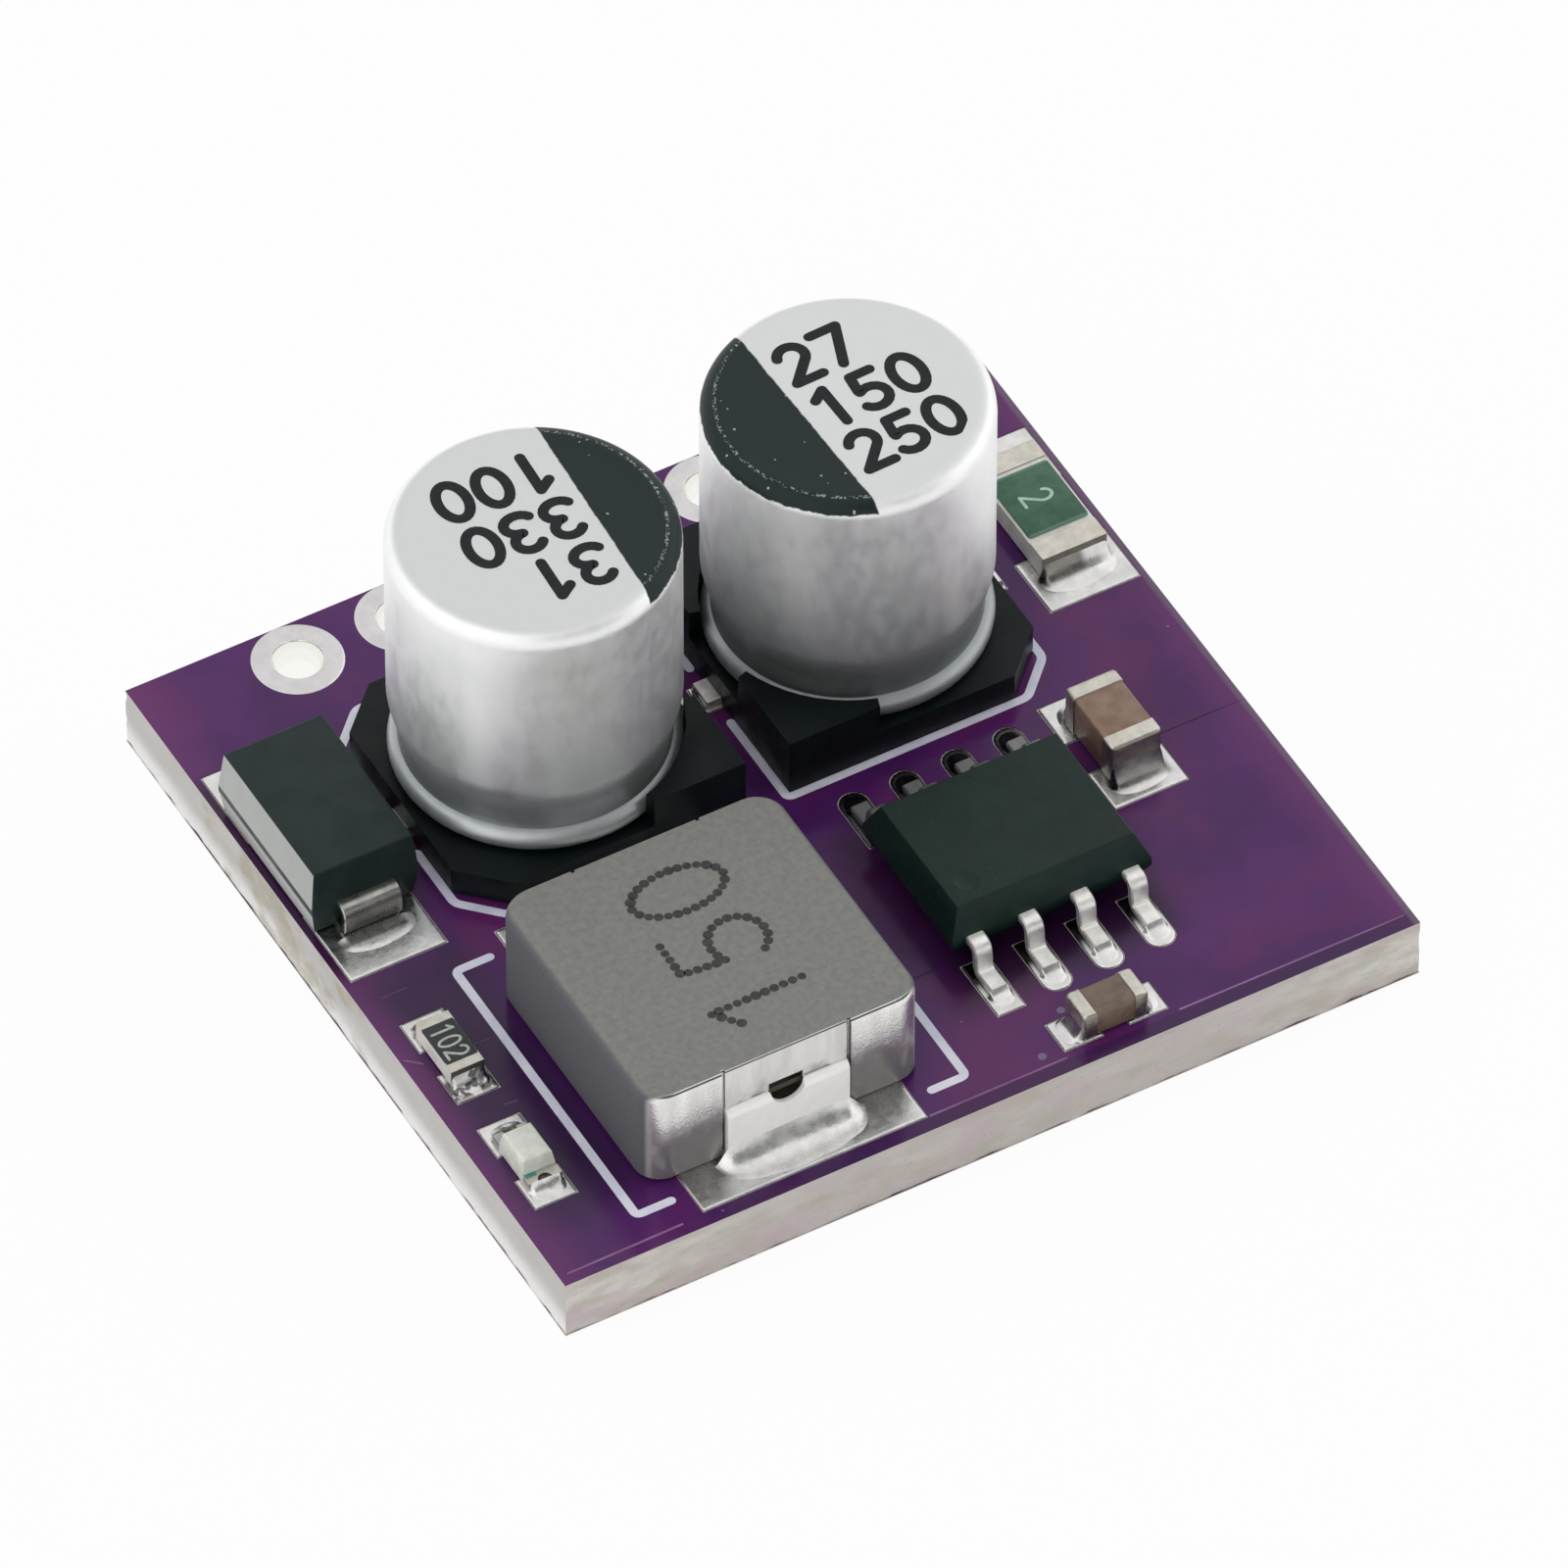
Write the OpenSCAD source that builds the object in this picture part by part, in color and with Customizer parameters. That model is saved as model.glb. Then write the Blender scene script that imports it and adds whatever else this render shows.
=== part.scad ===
// Step-down charging module: a small circuit board with its soldered parts.
// The origin is the middle of the board's underside. +X runs along the long side,
// +Y points to the edge with the wire holes, and +Z points out of the component side.

/* [Board] */
// Thickness of the finished board
board_t = 1.6; // [1:0.1:2.4]
// Thickness of each solder mask coat
mask_t = 0.03; // [0.02:0.005:0.06]
// Height of the tinned lands above the mask
tin_rise = 0.02; // [0.01:0.005:0.04]
// Gap between a land and the mask around it
mask_gap = 0.03; // [0.02:0.005:0.06]
// Thickness of the printed legend
legend_t = 0.015; // [0.01:0.005:0.03]
// Width of a legend line
legend_w = 0.2; // [0.12:0.01:0.24]
// Board left in front of the inductor's land
front_margin = 0.39; // [0.2:0.01:2]
// Board left beside the diode
diode_margin = 0.07; // [0.05:0.01:2]
// Board left beside the fuse's lands
fuse_margin = 0.17; // [0.1:0.01:2]
// Board left beside the resistor's and the lamp's lands
chip_margin = 0.51; // [0.3:0.01:2]

/* [Wire holes] */
// Inside diameter of a wire hole
hole_d = 1.1; // [0.8:0.05:1.3]
// Wall of the tinned eyelet that lines a hole
eyelet_t = 0.2; // [0.16:0.01:0.22]
// Diameter of the tinned ring round a hole
ring_d = 1.9; // [1.8:0.05:2.2]
// Pitch of the two holes of a pair
hole_pitch = 2.54; // [2.4:0.02:5.08]
// Board left behind the rings
ring_margin = 0.07; // [0.06:0.01:2]
// Distance from the left edge to the first output hole
output_hole_inset = 3.66; // [2:0.02:5]
// Distance from the right edge to the last input hole
input_hole_inset = 4.44; // [2:0.02:5]

/* [Can capacitors] */
// Diameter of a can
can_d = 6.35; // [5.6:0.05:6.5]
// Height of a capacitor over its lands
capacitor_h = 7.53; // [5.4:0.01:10.5]
// Radius of the can's rounded top edge
can_edge_r = 0.4; // [0.2:0.05:0.8]
// Depth of the rolled groove round the can
groove_depth = 0.24; // [0.1:0.02:0.3]
// Height of the groove between bead and shoulder
groove_h = 0.7; // [0.4:0.05:1]
// Radius of the bead below the groove
bead_r = 0.3; // [0.26:0.01:0.45]
// Radius of the shoulder above the groove
shoulder_r = 0.4; // [0.32:0.01:0.6]
// Side of the moulded base
base_w = 6.6; // [6.6:0.05:7.2]
// Height of the base plate that the can stands on
base_h = 0.75; // [0.6:0.01:1.6]
// Cut corner that marks the positive side of the base
base_chamfer = 1.05; // [0.6:0.05:1.4]
// Height of the two posts above the base plate
post_h = 0.8; // [0.4:0.02:1.2]
// Angle that a post takes up round the can
post_angle = 54; // [30:2:70]
// Gap between a post and the can
post_gap = 0.04; // [0.03:0.01:0.08]
// Width of a terminal strip
strip_w = 0.65; // [0.5:0.05:0.9]
// Thickness of a terminal strip
strip_t = 0.2; // [0.12:0.01:0.3]
// Length of a strip that shows outside the base
strip_reach = 0.33; // [0.2:0.01:0.38]
// Diameter of the pin between strip and can
pin_d = 0.6; // [0.4:0.05:0.65]
// Distance between the two pins of a capacitor
pin_pitch = 2.6; // [2:0.05:3]
// Gap round a pin and beside a strip in the base
pin_gap = 0.05; // [0.03:0.01:0.1]
// Gap between the base and the lands
base_lift = 0.05; // [0.03:0.01:0.1]
// Gap between the two bases
capacitor_gap = 1.06; // [1.06:0.02:3]
// Gap between the rings of the wire holes and the bases
ring_base_gap = 1.03; // [0.5:0.01:3]

/* [Inductor] */
// Width of the inductor along X
inductor_w = 6.7; // [5.8:0.05:7.4]
// Depth of the inductor along Y
inductor_d = 6.6; // [5.8:0.05:7.4]
// Height of the inductor over its lands
inductor_h = 2.72; // [2.2:0.02:4]
// Radius of its upright corners
inductor_corner_r = 0.6; // [0.3:0.05:1]
// Width of a terminal
tab_w = 2.95; // [2.4:0.05:3.4]
// Thickness of a terminal
tab_t = 0.15; // [0.1:0.01:0.2]
// Height at which a terminal leaves the core
tab_exit_h = 1.5; // [1:0.05:1.8]
// Width of the half-round notch at the fold of a terminal
tab_notch_w = 0.8; // [0.4:0.05:1]
// Height of the relief in the core above that notch
relief_h = 0.2; // [0.1:0.01:0.4]
// Depth of the channel that a terminal lies in
tab_channel = 0.12; // [0.05:0.01:0.2]
// Depth of the pressed panel above a terminal
panel_depth = 0.05; // [0.02:0.01:0.1]
// Gap between a terminal and the sides of its channel
tab_gap = 0.08; // [0.03:0.01:0.1]
// Gap below the core
core_lift = 0.03; // [0.02:0.01:0.08]
// How far the inductor floated to the left on its lands
inductor_slip_x = 0.1; // [0:0.01:0.2]
// How far the inductor floated to the front on its lands
inductor_slip_y = 0.18; // [0:0.01:0.3]
// Width of an inductor land
inductor_land_w = 5.4; // [4:0.05:5.7]
// Length of the lands beyond the inductor
inductor_toe = 1.23; // [0.9:0.01:1.5]
// Distance from the middle of a bracket's line to the inductor's place
bracket_gap = 0.64; // [0.4:0.01:0.8]
// Length of a bracket's arms
bracket_arm = 1.04; // [0.5:0.02:1.04]
// Gap between the bases and the inductor's lands
base_inductor_gap = 0.35; // [0.3:0.01:4]

/* [Diode] */
// Width of the diode's body
diode_w = 2.6; // [2.2:0.05:3]
// Length of the diode's body
diode_l = 4.2; // [3.8:0.05:4.8]
// Height of the diode over its lands
diode_h = 1.85; // [1.6:0.05:2.4]
// Inward slope of the moulded sides
diode_draft = 0.11; // [0.05:0.01:0.2]
// Width of a diode lead
diode_lead_w = 1.4; // [1.1:0.05:1.7]
// Thickness of a diode lead
diode_lead_t = 0.15; // [0.12:0.01:0.18]
// Gap below the diode's body and beside the feet of its leads
diode_lift = 0.03; // [0.02:0.01:0.08]
// Length of a lead outside the body
diode_lead_reach = 0.35; // [0.32:0.01:0.6]
// Length of the lands beyond the leads
diode_toe = 0.88; // [0.6:0.01:1.2]
// Width of a diode land
diode_land_w = 2.32; // [1.9:0.02:2.6]
// How far the diode floated to the rear on its lands
diode_slip = 0.22; // [0:0.01:0.3]
// Gap between the rings of the wire holes and the diode's lands
ring_diode_gap = 1.07; // [0.5:0.01:3]
// Gap between the diode and the left base
diode_base_gap = 0.6; // [0.4:0.01:3]

/* [Controller] */
// Length of the controller's body along X
controller_l = 4.9; // [4.5:0.05:5.4]
// Width of the controller's body along Y
controller_w = 3.9; // [3.4:0.05:4.2]
// Height of the controller over its lands
controller_h = 1.55; // [1.3:0.05:1.9]
// Gap below the controller's body
controller_lift = 0.12; // [0.08:0.01:0.25]
// Inward slope of the moulded sides
controller_draft = 0.3; // [0.1:0.01:0.35]
// Lead pitch
lead_pitch = 1.27; // [1.1:0.01:1.3]
// Length over the leads, tip to tip
lead_span = 6; // [5.8:0.05:6.4]
// Width of a lead
lead_w = 0.42; // [0.3:0.01:0.5]
// Thickness of a lead
lead_t = 0.2; // [0.15:0.01:0.25]
// Inside radius of a lead's bends
lead_bend_r = 0.1; // [0.06:0.01:0.14]
// Diameter of the dimple beside lead 1
dimple_d = 0.55; // [0.3:0.05:0.8]
// Depth of the dimple
dimple_depth = 0.06; // [0.02:0.01:0.15]
// Width of a controller land
lead_land_w = 0.66; // [0.5:0.01:0.8]
// Length of a controller land
lead_land_l = 1.6; // [1.3:0.05:1.8]
// Length of the lands beyond the leads
lead_toe = 0.55; // [0.3:0.01:0.8]
// Gap between the right base and the controller's lands
base_controller_gap = 0.6; // [0.4:0.01:3]
// Gap between the inductor and the controller's body
inductor_controller_gap = 1.85; // [1.5:0.01:4]

/* [Fuse] */
// Length of the fuse
fuse_l = 3.2; // [2.8:0.05:3.6]
// Width of the fuse
fuse_w = 1.6; // [1.3:0.05:1.8]
// Height of the fuse over its lands
fuse_h = 0.65; // [0.5:0.05:0.9]
// Length of an end cap
fuse_cap_l = 0.55; // [0.35:0.01:0.7]
// Length of the green cover coat
cover_l = 1.85; // [1.4:0.05:1.95]
// Width of the green cover coat
cover_w = 1.2; // [0.9:0.05:1.3]
// Length of the lands beyond the fuse
fuse_toe = 0.9; // [0.5:0.01:1.2]
// Width of the lands on each side of the fuse
fuse_land_side = 0.3; // [0.1:0.01:0.4]
// Gap between the right base and the fuse's lands
base_fuse_gap = 0.9; // [0.8:0.01:3]
// Distance from the rings of the wire holes to the fuse's lands
ring_fuse_gap = 0.81; // [0.4:0.01:3]

/* [Ceramic capacitors] */
// Length of the large ceramic capacitor
large_l = 2.05; // [1.8:0.05:2.3]
// Width of the large ceramic capacitor
large_w = 1.25; // [1:0.05:1.4]
// Height of the large ceramic capacitor over its lands
large_h = 1.12; // [0.8:0.02:1.4]
// Length of its end caps
large_cap_l = 0.42; // [0.25:0.01:0.6]
// Length of its lands beyond the ends
large_toe = 0.63; // [0.3:0.01:0.8]
// Width of its lands on each side
large_land_side = 0.28; // [0.1:0.01:0.4]
// Gap between the right base and its lands
base_large_gap = 0.49; // [0.3:0.01:2]
// Gap between the controller and its lands
controller_large_gap = 0.41; // [0.2:0.01:2]
// Length of the small ceramic capacitor
small_l = 1.6; // [1.4:0.05:1.8]
// Width of the small ceramic capacitor
small_w = 0.85; // [0.7:0.05:1]
// Height of the small ceramic capacitor over its lands
small_h = 0.75; // [0.5:0.05:0.9]
// Length of its end caps
small_cap_l = 0.35; // [0.2:0.01:0.45]
// Length of its lands beyond the ends
small_toe = 0.45; // [0.25:0.01:0.7]
// Gap between the controller's lands and the small capacitor
controller_small_gap = 0.7; // [0.3:0.01:2]
// Distance of the small capacitor to the left of the controller's middle
small_shift = 0.24; // [0:0.02:1]

/* [Resistor and lamp] */
// Length of the resistor and of the lamp
chip_l = 1.6; // [1.4:0.05:1.8]
// Width of the resistor and of the lamp
chip_w = 0.8; // [0.7:0.02:0.95]
// Height of the resistor over its lands
resistor_h = 0.45; // [0.35:0.01:0.6]
// Length of the resistor's end caps
resistor_cap_l = 0.3; // [0.2:0.01:0.4]
// Thickness of the resistor's dark film and of the fuse's cover
film_t = 0.02; // [0.01:0.005:0.03]
// Height of the lamp over its lands
lamp_h = 0.6; // [0.45:0.01:0.8]
// Thickness of the lamp's base
lamp_base_h = 0.22; // [0.15:0.01:0.3]
// Length of the lamp's ends
lamp_end_l = 0.28; // [0.22:0.01:0.35]
// Radius of the half-round notch in each of the lamp's ends
lamp_notch_r = 0.16; // [0.1:0.01:0.2]
// Inward slope of the lens
lens_draft = 0.07; // [0.03:0.01:0.15]
// Thickness of the metal of every end cap
cap_t = 0.03; // [0.02:0.005:0.05]
// Length of these lands beyond the ends
chip_toe = 0.47; // [0.25:0.01:0.7]
// Width of these lands on each side
chip_land_side = 0.1; // [0.05:0.01:0.2]
// Gap between the diode's land and the resistor's land
diode_resistor_gap = 1.6; // [0.5:0.01:3]
// Gap between the resistor's and the lamp's lands
resistor_lamp_gap = 0.84; // [0.4:0.01:3]
// Gap between these lands and the inductor
chip_inductor_gap = 1.39; // [1.3:0.01:4]

/* [Hidden] */
$fn = 64;
// Thickness of the slices that a moulded body is drawn between
slice = 0.01;
// Depth by which a cutter passes a face
over = 0.1;
// Thin outer edge of a solder fillet
fillet_lip = 0.02;
// Land left under a part beyond its end cap
land_under = 0.12;
// Land left beside a terminal strip and beyond its end
strip_land_side = 0.075;
strip_land_end = 0.1;
// Land below the inductor and the diode, inward from the end of the body
land_below = 1;
// Width by which a base covers the legend line round it
legend_tuck = 0.02;
// Share of the toe that a fillet takes up, and its rise as a share of the end's height
fillet_reach = 0.8;
fillet_rise = 0.6;
// Rise of a fillet against a folded lead, as a share of the lead's height
lead_fillet_rise = 0.33;

// Heights
core_t = board_t - 2 * mask_t;
core_top = board_t - mask_t;
seat_z = board_t + tin_rise;
land_t = mask_t + tin_rise;

// Lengths and widths of the lands
chip_land_w = chip_w + 2 * chip_land_side;
chip_land_span = chip_l + 2 * chip_toe;
fuse_land_w = fuse_w + 2 * fuse_land_side;
fuse_land_span = fuse_l + 2 * fuse_toe;
large_land_w = large_w + 2 * large_land_side;
large_land_span = large_l + 2 * large_toe;
small_land_span = small_l + 2 * small_toe;
diode_span = diode_l + 2 * diode_lead_reach;
diode_land_span = diode_span + 2 * diode_toe;
lead_land_span = lead_span + 2 * lead_toe;
inductor_land_span = inductor_d + 2 * inductor_toe;
strip_land_w = strip_w + 2 * strip_land_side;
strip_land_toe = strip_reach + strip_land_end;
strip_span = base_w + 2 * strip_reach;

// Outline of the board: the widest row and the deepest column of parts
rear_row_w = diode_margin + diode_w + diode_base_gap + 2 * base_w + capacitor_gap
    + base_fuse_gap + fuse_land_w + fuse_margin;
front_row_w = chip_margin + chip_land_w + chip_inductor_gap + inductor_w + inductor_controller_gap
    + controller_l + controller_large_gap + large_land_w + fuse_margin;
board_w = max(rear_row_w, front_row_w);
bases_d = ring_margin + ring_d + ring_base_gap + base_w;
inductor_column_d = bases_d + base_inductor_gap + inductor_land_span + front_margin;
controller_column_d = bases_d + base_controller_gap + lead_land_span + controller_small_gap
    + small_w + front_margin;
diode_column_d = ring_margin + ring_d + ring_diode_gap + diode_land_span + diode_resistor_gap
    + 2 * chip_land_span + resistor_lamp_gap + front_margin;
board_d = max(inductor_column_d, controller_column_d, diode_column_d);

// Places, from the left edge and the rear edge
left = -board_w / 2;
diode_x = left + diode_margin + diode_w / 2;
output_x = diode_x + diode_w / 2 + diode_base_gap + base_w / 2;
input_x = output_x + base_w + capacitor_gap;
fuse_x = input_x + base_w / 2 + base_fuse_gap + fuse_land_w / 2;
chip_x = left + chip_margin + chip_land_w / 2;
inductor_place_x = chip_x + chip_land_w / 2 + chip_inductor_gap + inductor_w / 2;
inductor_x = inductor_place_x - inductor_slip_x;
controller_x = inductor_place_x + inductor_w / 2 + inductor_controller_gap + controller_l / 2;
large_x = controller_x + controller_l / 2 + controller_large_gap + large_land_w / 2;
small_x = controller_x - small_shift;
hole_y = board_d / 2 - ring_margin - ring_d / 2;
rings_y = hole_y - ring_d / 2;
bases_y = rings_y - ring_base_gap - base_w / 2;
bases_front = bases_y - base_w / 2;
inductor_place_y = bases_front - base_inductor_gap - inductor_land_span / 2;
inductor_y = inductor_place_y - inductor_slip_y;
controller_y = bases_front - base_controller_gap - lead_land_span / 2;
large_y = bases_front - base_large_gap - large_land_span / 2;
small_y = controller_y - lead_land_span / 2 - controller_small_gap - small_w / 2;
diode_land_y = rings_y - ring_diode_gap - diode_land_span / 2;
diode_y = diode_land_y + diode_slip;
fuse_y = rings_y - ring_fuse_gap - fuse_land_span / 2;
resistor_y = diode_land_y - diode_land_span / 2 - diode_resistor_gap - chip_land_span / 2;
lamp_y = resistor_y - chip_land_span - resistor_lamp_gap;
output_hole_x = left + output_hole_inset;
input_hole_x = -left - input_hole_inset;
hole_xs = [output_hole_x, output_hole_x + hole_pitch, input_hole_x - hole_pitch, input_hole_x];

// Lead places: 1 to 4 run left to right along the front, 5 to 8 right to left along the rear
lead_count = 8;
side_leads = lead_count / 2;
function lead_side(i) = i <= side_leads ? -1 : 1;
function lead_step(i) = i <= side_leads ? i - 1 : lead_count - i;
function lead_x(i) = controller_x + (lead_step(i) - (side_leads - 1) / 2) * lead_pitch;

// A land is [x, y, size along X, size along Y, rounded end], with -1 or 1 for a rounded front or rear end
function lands_along_y(x, y, w, span, len) =
    [for (s = [-1, 1]) [x, y + s * (span - len) / 2, w, len, 0]];
function lands_along_x(x, y, w, span, len) =
    [for (s = [-1, 1]) [x + s * (span - len) / 2, y, len, w, 0]];
function capacitor_lands(x) = lands_along_x(x, bases_y, strip_land_w,
    base_w + 2 * strip_land_toe, (base_w - pin_pitch) / 2 + strip_land_toe);
output_lands = capacitor_lands(output_x);
input_lands = capacitor_lands(input_x);
inductor_land_l = inductor_toe + land_below;
inductor_lands = lands_along_y(inductor_place_x, inductor_place_y, inductor_land_w,
    inductor_land_span, inductor_land_l);
diode_lands = lands_along_y(diode_x, diode_land_y, diode_land_w, diode_land_span,
    diode_toe + diode_slip + land_below);
controller_lands = [for (i = [1:lead_count])
    [lead_x(i), controller_y + lead_side(i) * (lead_land_span - lead_land_l) / 2,
        lead_land_w, lead_land_l, i == 1 ? 0 : lead_side(i)]];
fuse_lands = lands_along_y(fuse_x, fuse_y, fuse_land_w, fuse_land_span, fuse_toe + fuse_cap_l + land_under);
large_lands = lands_along_y(large_x, large_y, large_land_w, large_land_span,
    large_toe + large_cap_l + land_under);
small_lands = lands_along_x(small_x, small_y, small_w, small_land_span,
    small_toe + small_cap_l + land_under);
chip_land_l = chip_toe + resistor_cap_l + land_under;
resistor_lands = lands_along_y(chip_x, resistor_y, chip_land_w, chip_land_span, chip_land_l);
lamp_lands = lands_along_y(chip_x, lamp_y, chip_land_w, chip_land_span, chip_land_l);
all_lands = concat(output_lands, input_lands, inductor_lands, diode_lands, controller_lands,
    fuse_lands, large_lands, small_lands, resistor_lands, lamp_lands);

// Colours
laminate_colour = [0.78, 0.74, 0.67];
mask_colour = [0.34, 0.22, 0.4];
legend_colour = [0.82, 0.82, 0.9];
tin_colour = [0.82, 0.81, 0.82];
aluminium_colour = [0.84, 0.84, 0.84];
base_colour = [0.07, 0.1, 0.11];
core_colour = [0.53, 0.52, 0.5];
moulding_colour = [0.18, 0.22, 0.21];
ceramic_colour = [0.52, 0.43, 0.38];
substrate_colour = [0.88, 0.87, 0.83];
cover_colour = [0.26, 0.43, 0.34];
film_colour = [0.1, 0.1, 0.11];
lens_colour = [0.85, 0.87, 0.82];

// Shared shapes

// Box centred on X and Y that stands on z
module block(size, x, y, z) {
    translate([x - size.x / 2, y - size.y / 2, z]) cube(size);
}

// Flat shape drawn as (outward, up), placed with its zero at x, y, z.
// A turn of 0 faces the front, 90 the right, 180 the rear and 270 the left.
module outward(x, y, z, turn, w) {
    translate([x, y, z]) rotate([90, 0, turn - 90]) linear_extrude(w, center = true) children();
}

// Quarter of a bent strip, in the quadrant given by the signs
module bend(r, t, sx, sy) {
    far = r + t;
    intersection() {
        difference() {
            circle(far);
            circle(r);
        }
        translate([sx < 0 ? -far : 0, sy < 0 ? -far : 0]) square(far);
    }
}

// Lead that runs out, down and then outward on its foot
module gull_wing(reach, exit_h, t, r, stub) {
    translate([0, exit_h - t]) square([stub, t]);
    translate([stub, exit_h - t - r]) bend(r, t, 1, 1);
    translate([stub + r, t + r]) square([t, exit_h - 2 * (t + r)]);
    translate([stub + t + 2 * r, t + r]) bend(r, t, -1, -1);
    translate([stub + t + 2 * r, 0]) square([reach - stub - t - 2 * r, t]);
}

// Lead that runs out, down and then back below the body
module folded_lead(reach, exit_h, t, r, foot) {
    stub = reach - t - r;
    translate([0, exit_h - t]) square([stub, t]);
    translate([stub, exit_h - t - r]) bend(r, t, 1, 1);
    translate([stub + r, t + r]) square([t, exit_h - 2 * (t + r)]);
    translate([stub, t + r]) bend(r, t, 1, -1);
    translate([-foot, 0]) square([foot + stub, t]);
}

// Hollow solder fillet: it rises against an end at 0, no higher than it is long, and runs out to a thin lip
module fillet(run, rise) {
    top = min(run, rise);
    fall = top - fillet_lip;
    r = (run * run + fall * fall) / (2 * fall);
    difference() {
        square([run, top]);
        translate([run, fillet_lip + r]) circle(r, $fn = 128);
    }
}

// Outline of a land, grown on every side
module land_outline(land, grow) {
    w = land[2];
    len = land[3];
    end = land[4];
    translate([land[0], land[1]])
        if (end == 0) {
            square([w + 2 * grow, len + 2 * grow], center = true);
        } else {
            translate([0, -end * (w / 2 + grow) / 2])
                square([w + 2 * grow, len - w / 2 + grow], center = true);
            translate([0, end * (len - w) / 2]) circle(w / 2 + grow);
        }
}

module land(land) {
    translate([0, 0, core_top]) linear_extrude(land_t) land_outline(land, 0);
}

// Two lands with a fillet against each end of a part that lies along Y
module solder_along_y(lands, x, y, length, w, toe, rise) {
    color(tin_colour)
        for (s = [-1, 1]) union() {
            land(lands[s < 0 ? 0 : 1]);
            outward(x, y + s * length / 2, seat_z, s < 0 ? 0 : 180, w) fillet(toe, rise);
        }
}

// The same for a part that lies along X
module solder_along_x(lands, x, y, length, w, toe, rise) {
    color(tin_colour)
        for (s = [-1, 1]) union() {
            land(lands[s < 0 ? 0 : 1]);
            outward(x + s * length / 2, y, seat_z, s < 0 ? 270 : 90, w) fillet(toe, rise);
        }
}

// Moulded body: its sides lean inward above and below the seam that the leads leave from
module moulding(size, x, y, z, seam_z, seam_t, draft) {
    inner = [size.x - 2 * draft, size.y - 2 * draft, slice];
    hull() {
        block(inner, x, y, z);
        block([size.x, size.y, seam_t], x, y, seam_z);
        block(inner, x, y, z + size.z - slice);
    }
}

// End cap over the last stretch of a block that lies along Y, on the side s.
// It covers the end, the top and the bottom, and with sides = 1 the two sides as well.
module end_cap(size, len, x, y, s, sides) {
    color(tin_colour) difference() {
        block([size.x, len, size.z], x, y + s * (size.y - len) / 2, seat_z);
        block([size.x + (sides == 1 ? -2 * cap_t : 2 * over), len, size.z - 2 * cap_t],
            x, y + s * ((size.y - len) / 2 - cap_t), seat_z + cap_t);
    }
}

// Ring outline on the four wire holes
module rings(d) {
    for (x = hole_xs) translate([x, hole_y]) circle(d = d);
}

// Board

module board_core() {
    color(laminate_colour) translate([0, 0, mask_t]) linear_extrude(core_t) difference() {
        square([board_w, board_d], center = true);
        rings(hole_d + 2 * eyelet_t);
    }
}

module top_mask() {
    color(mask_colour) translate([0, 0, core_top]) linear_extrude(mask_t) difference() {
        square([board_w, board_d], center = true);
        rings(ring_d + 2 * mask_gap);
        for (l = all_lands) land_outline(l, mask_gap);
    }
}

module bottom_mask() {
    color(mask_colour) linear_extrude(mask_t) difference() {
        square([board_w, board_d], center = true);
        rings(ring_d + 2 * mask_gap);
    }
}

// Lined hole: a barrel with a ring on both sides
module wire_eyelet(i) {
    color(tin_colour) translate([hole_xs[i - 1], hole_y, 0]) difference() {
        union() {
            cylinder(d = ring_d, h = mask_t);
            cylinder(d = hole_d + 2 * eyelet_t, h = seat_z);
            translate([0, 0, core_top]) cylinder(d = ring_d, h = land_t);
        }
        translate([0, 0, -over]) cylinder(d = hole_d, h = seat_z + 2 * over);
    }
}

// Base outline of a capacitor whose positive side is at +X, grown on every side
module base_outline(grow) {
    half = base_w / 2 + grow;
    cut = base_chamfer + grow * (2 - sqrt(2));
    polygon([[-half, -half], [half - cut, -half], [half, cut - half],
        [half, half - cut], [half - cut, half], [-half, half]]);
}

// Line round a base, open at the two terminals
module base_legend(x, turn) {
    line_gap = legend_w / 2 - legend_tuck;
    translate([x, bases_y]) rotate(turn) difference() {
        base_outline(line_gap + legend_w / 2);
        base_outline(line_gap - legend_w / 2);
        square([2 * base_w, strip_land_w + 4 * legend_w], center = true);
    }
}

// Bracket beside the inductor
module bracket(side) {
    line_x = inductor_place_x + side * (inductor_w / 2 + bracket_gap);
    reach = inductor_d / 2 + bracket_gap + legend_w / 2;
    rear = inductor_place_y + reach;
    front = inductor_place_y - reach;
    translate([line_x - legend_w / 2, front]) square([legend_w, rear - front]);
    for (y = [front, rear - legend_w])
        translate([side < 0 ? line_x - legend_w / 2 : line_x + legend_w / 2 - bracket_arm, y])
            square([bracket_arm, legend_w]);
}

module legend() {
    color(legend_colour) translate([0, 0, board_t]) linear_extrude(legend_t) {
        base_legend(output_x, 180);
        base_legend(input_x, 0);
        bracket(-1);
        bracket(1);
    }
}

// Can capacitors

can_z = seat_z + base_h;
can_h = capacitor_h - base_h;
can_r = can_d / 2;
shoulder_z = 2 * bead_r + groove_h;
straight_z = shoulder_z + shoulder_r;

// Half section of a can: bead, groove, shoulder and rounded top edge
module can_section() {
    square([can_r - shoulder_r, can_h]);
    square([can_r - bead_r, 2 * bead_r]);
    translate([can_r - bead_r, bead_r]) circle(bead_r);
    translate([0, bead_r]) square([can_r - groove_depth, shoulder_z]);
    translate([can_r - shoulder_r, straight_z]) circle(shoulder_r);
    translate([0, straight_z]) square([can_r, can_h - straight_z - can_edge_r]);
    translate([0, can_h - 2 * can_edge_r]) square([can_r - can_edge_r, 2 * can_edge_r]);
    translate([can_r - can_edge_r, can_h - can_edge_r]) circle(can_edge_r);
}

module capacitor_can(x) {
    color(aluminium_colour) translate([x, bases_y, can_z]) rotate_extrude($fn = 128)
        intersection() {
            can_section();
            square([can_r, can_h]);
        }
}

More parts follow.
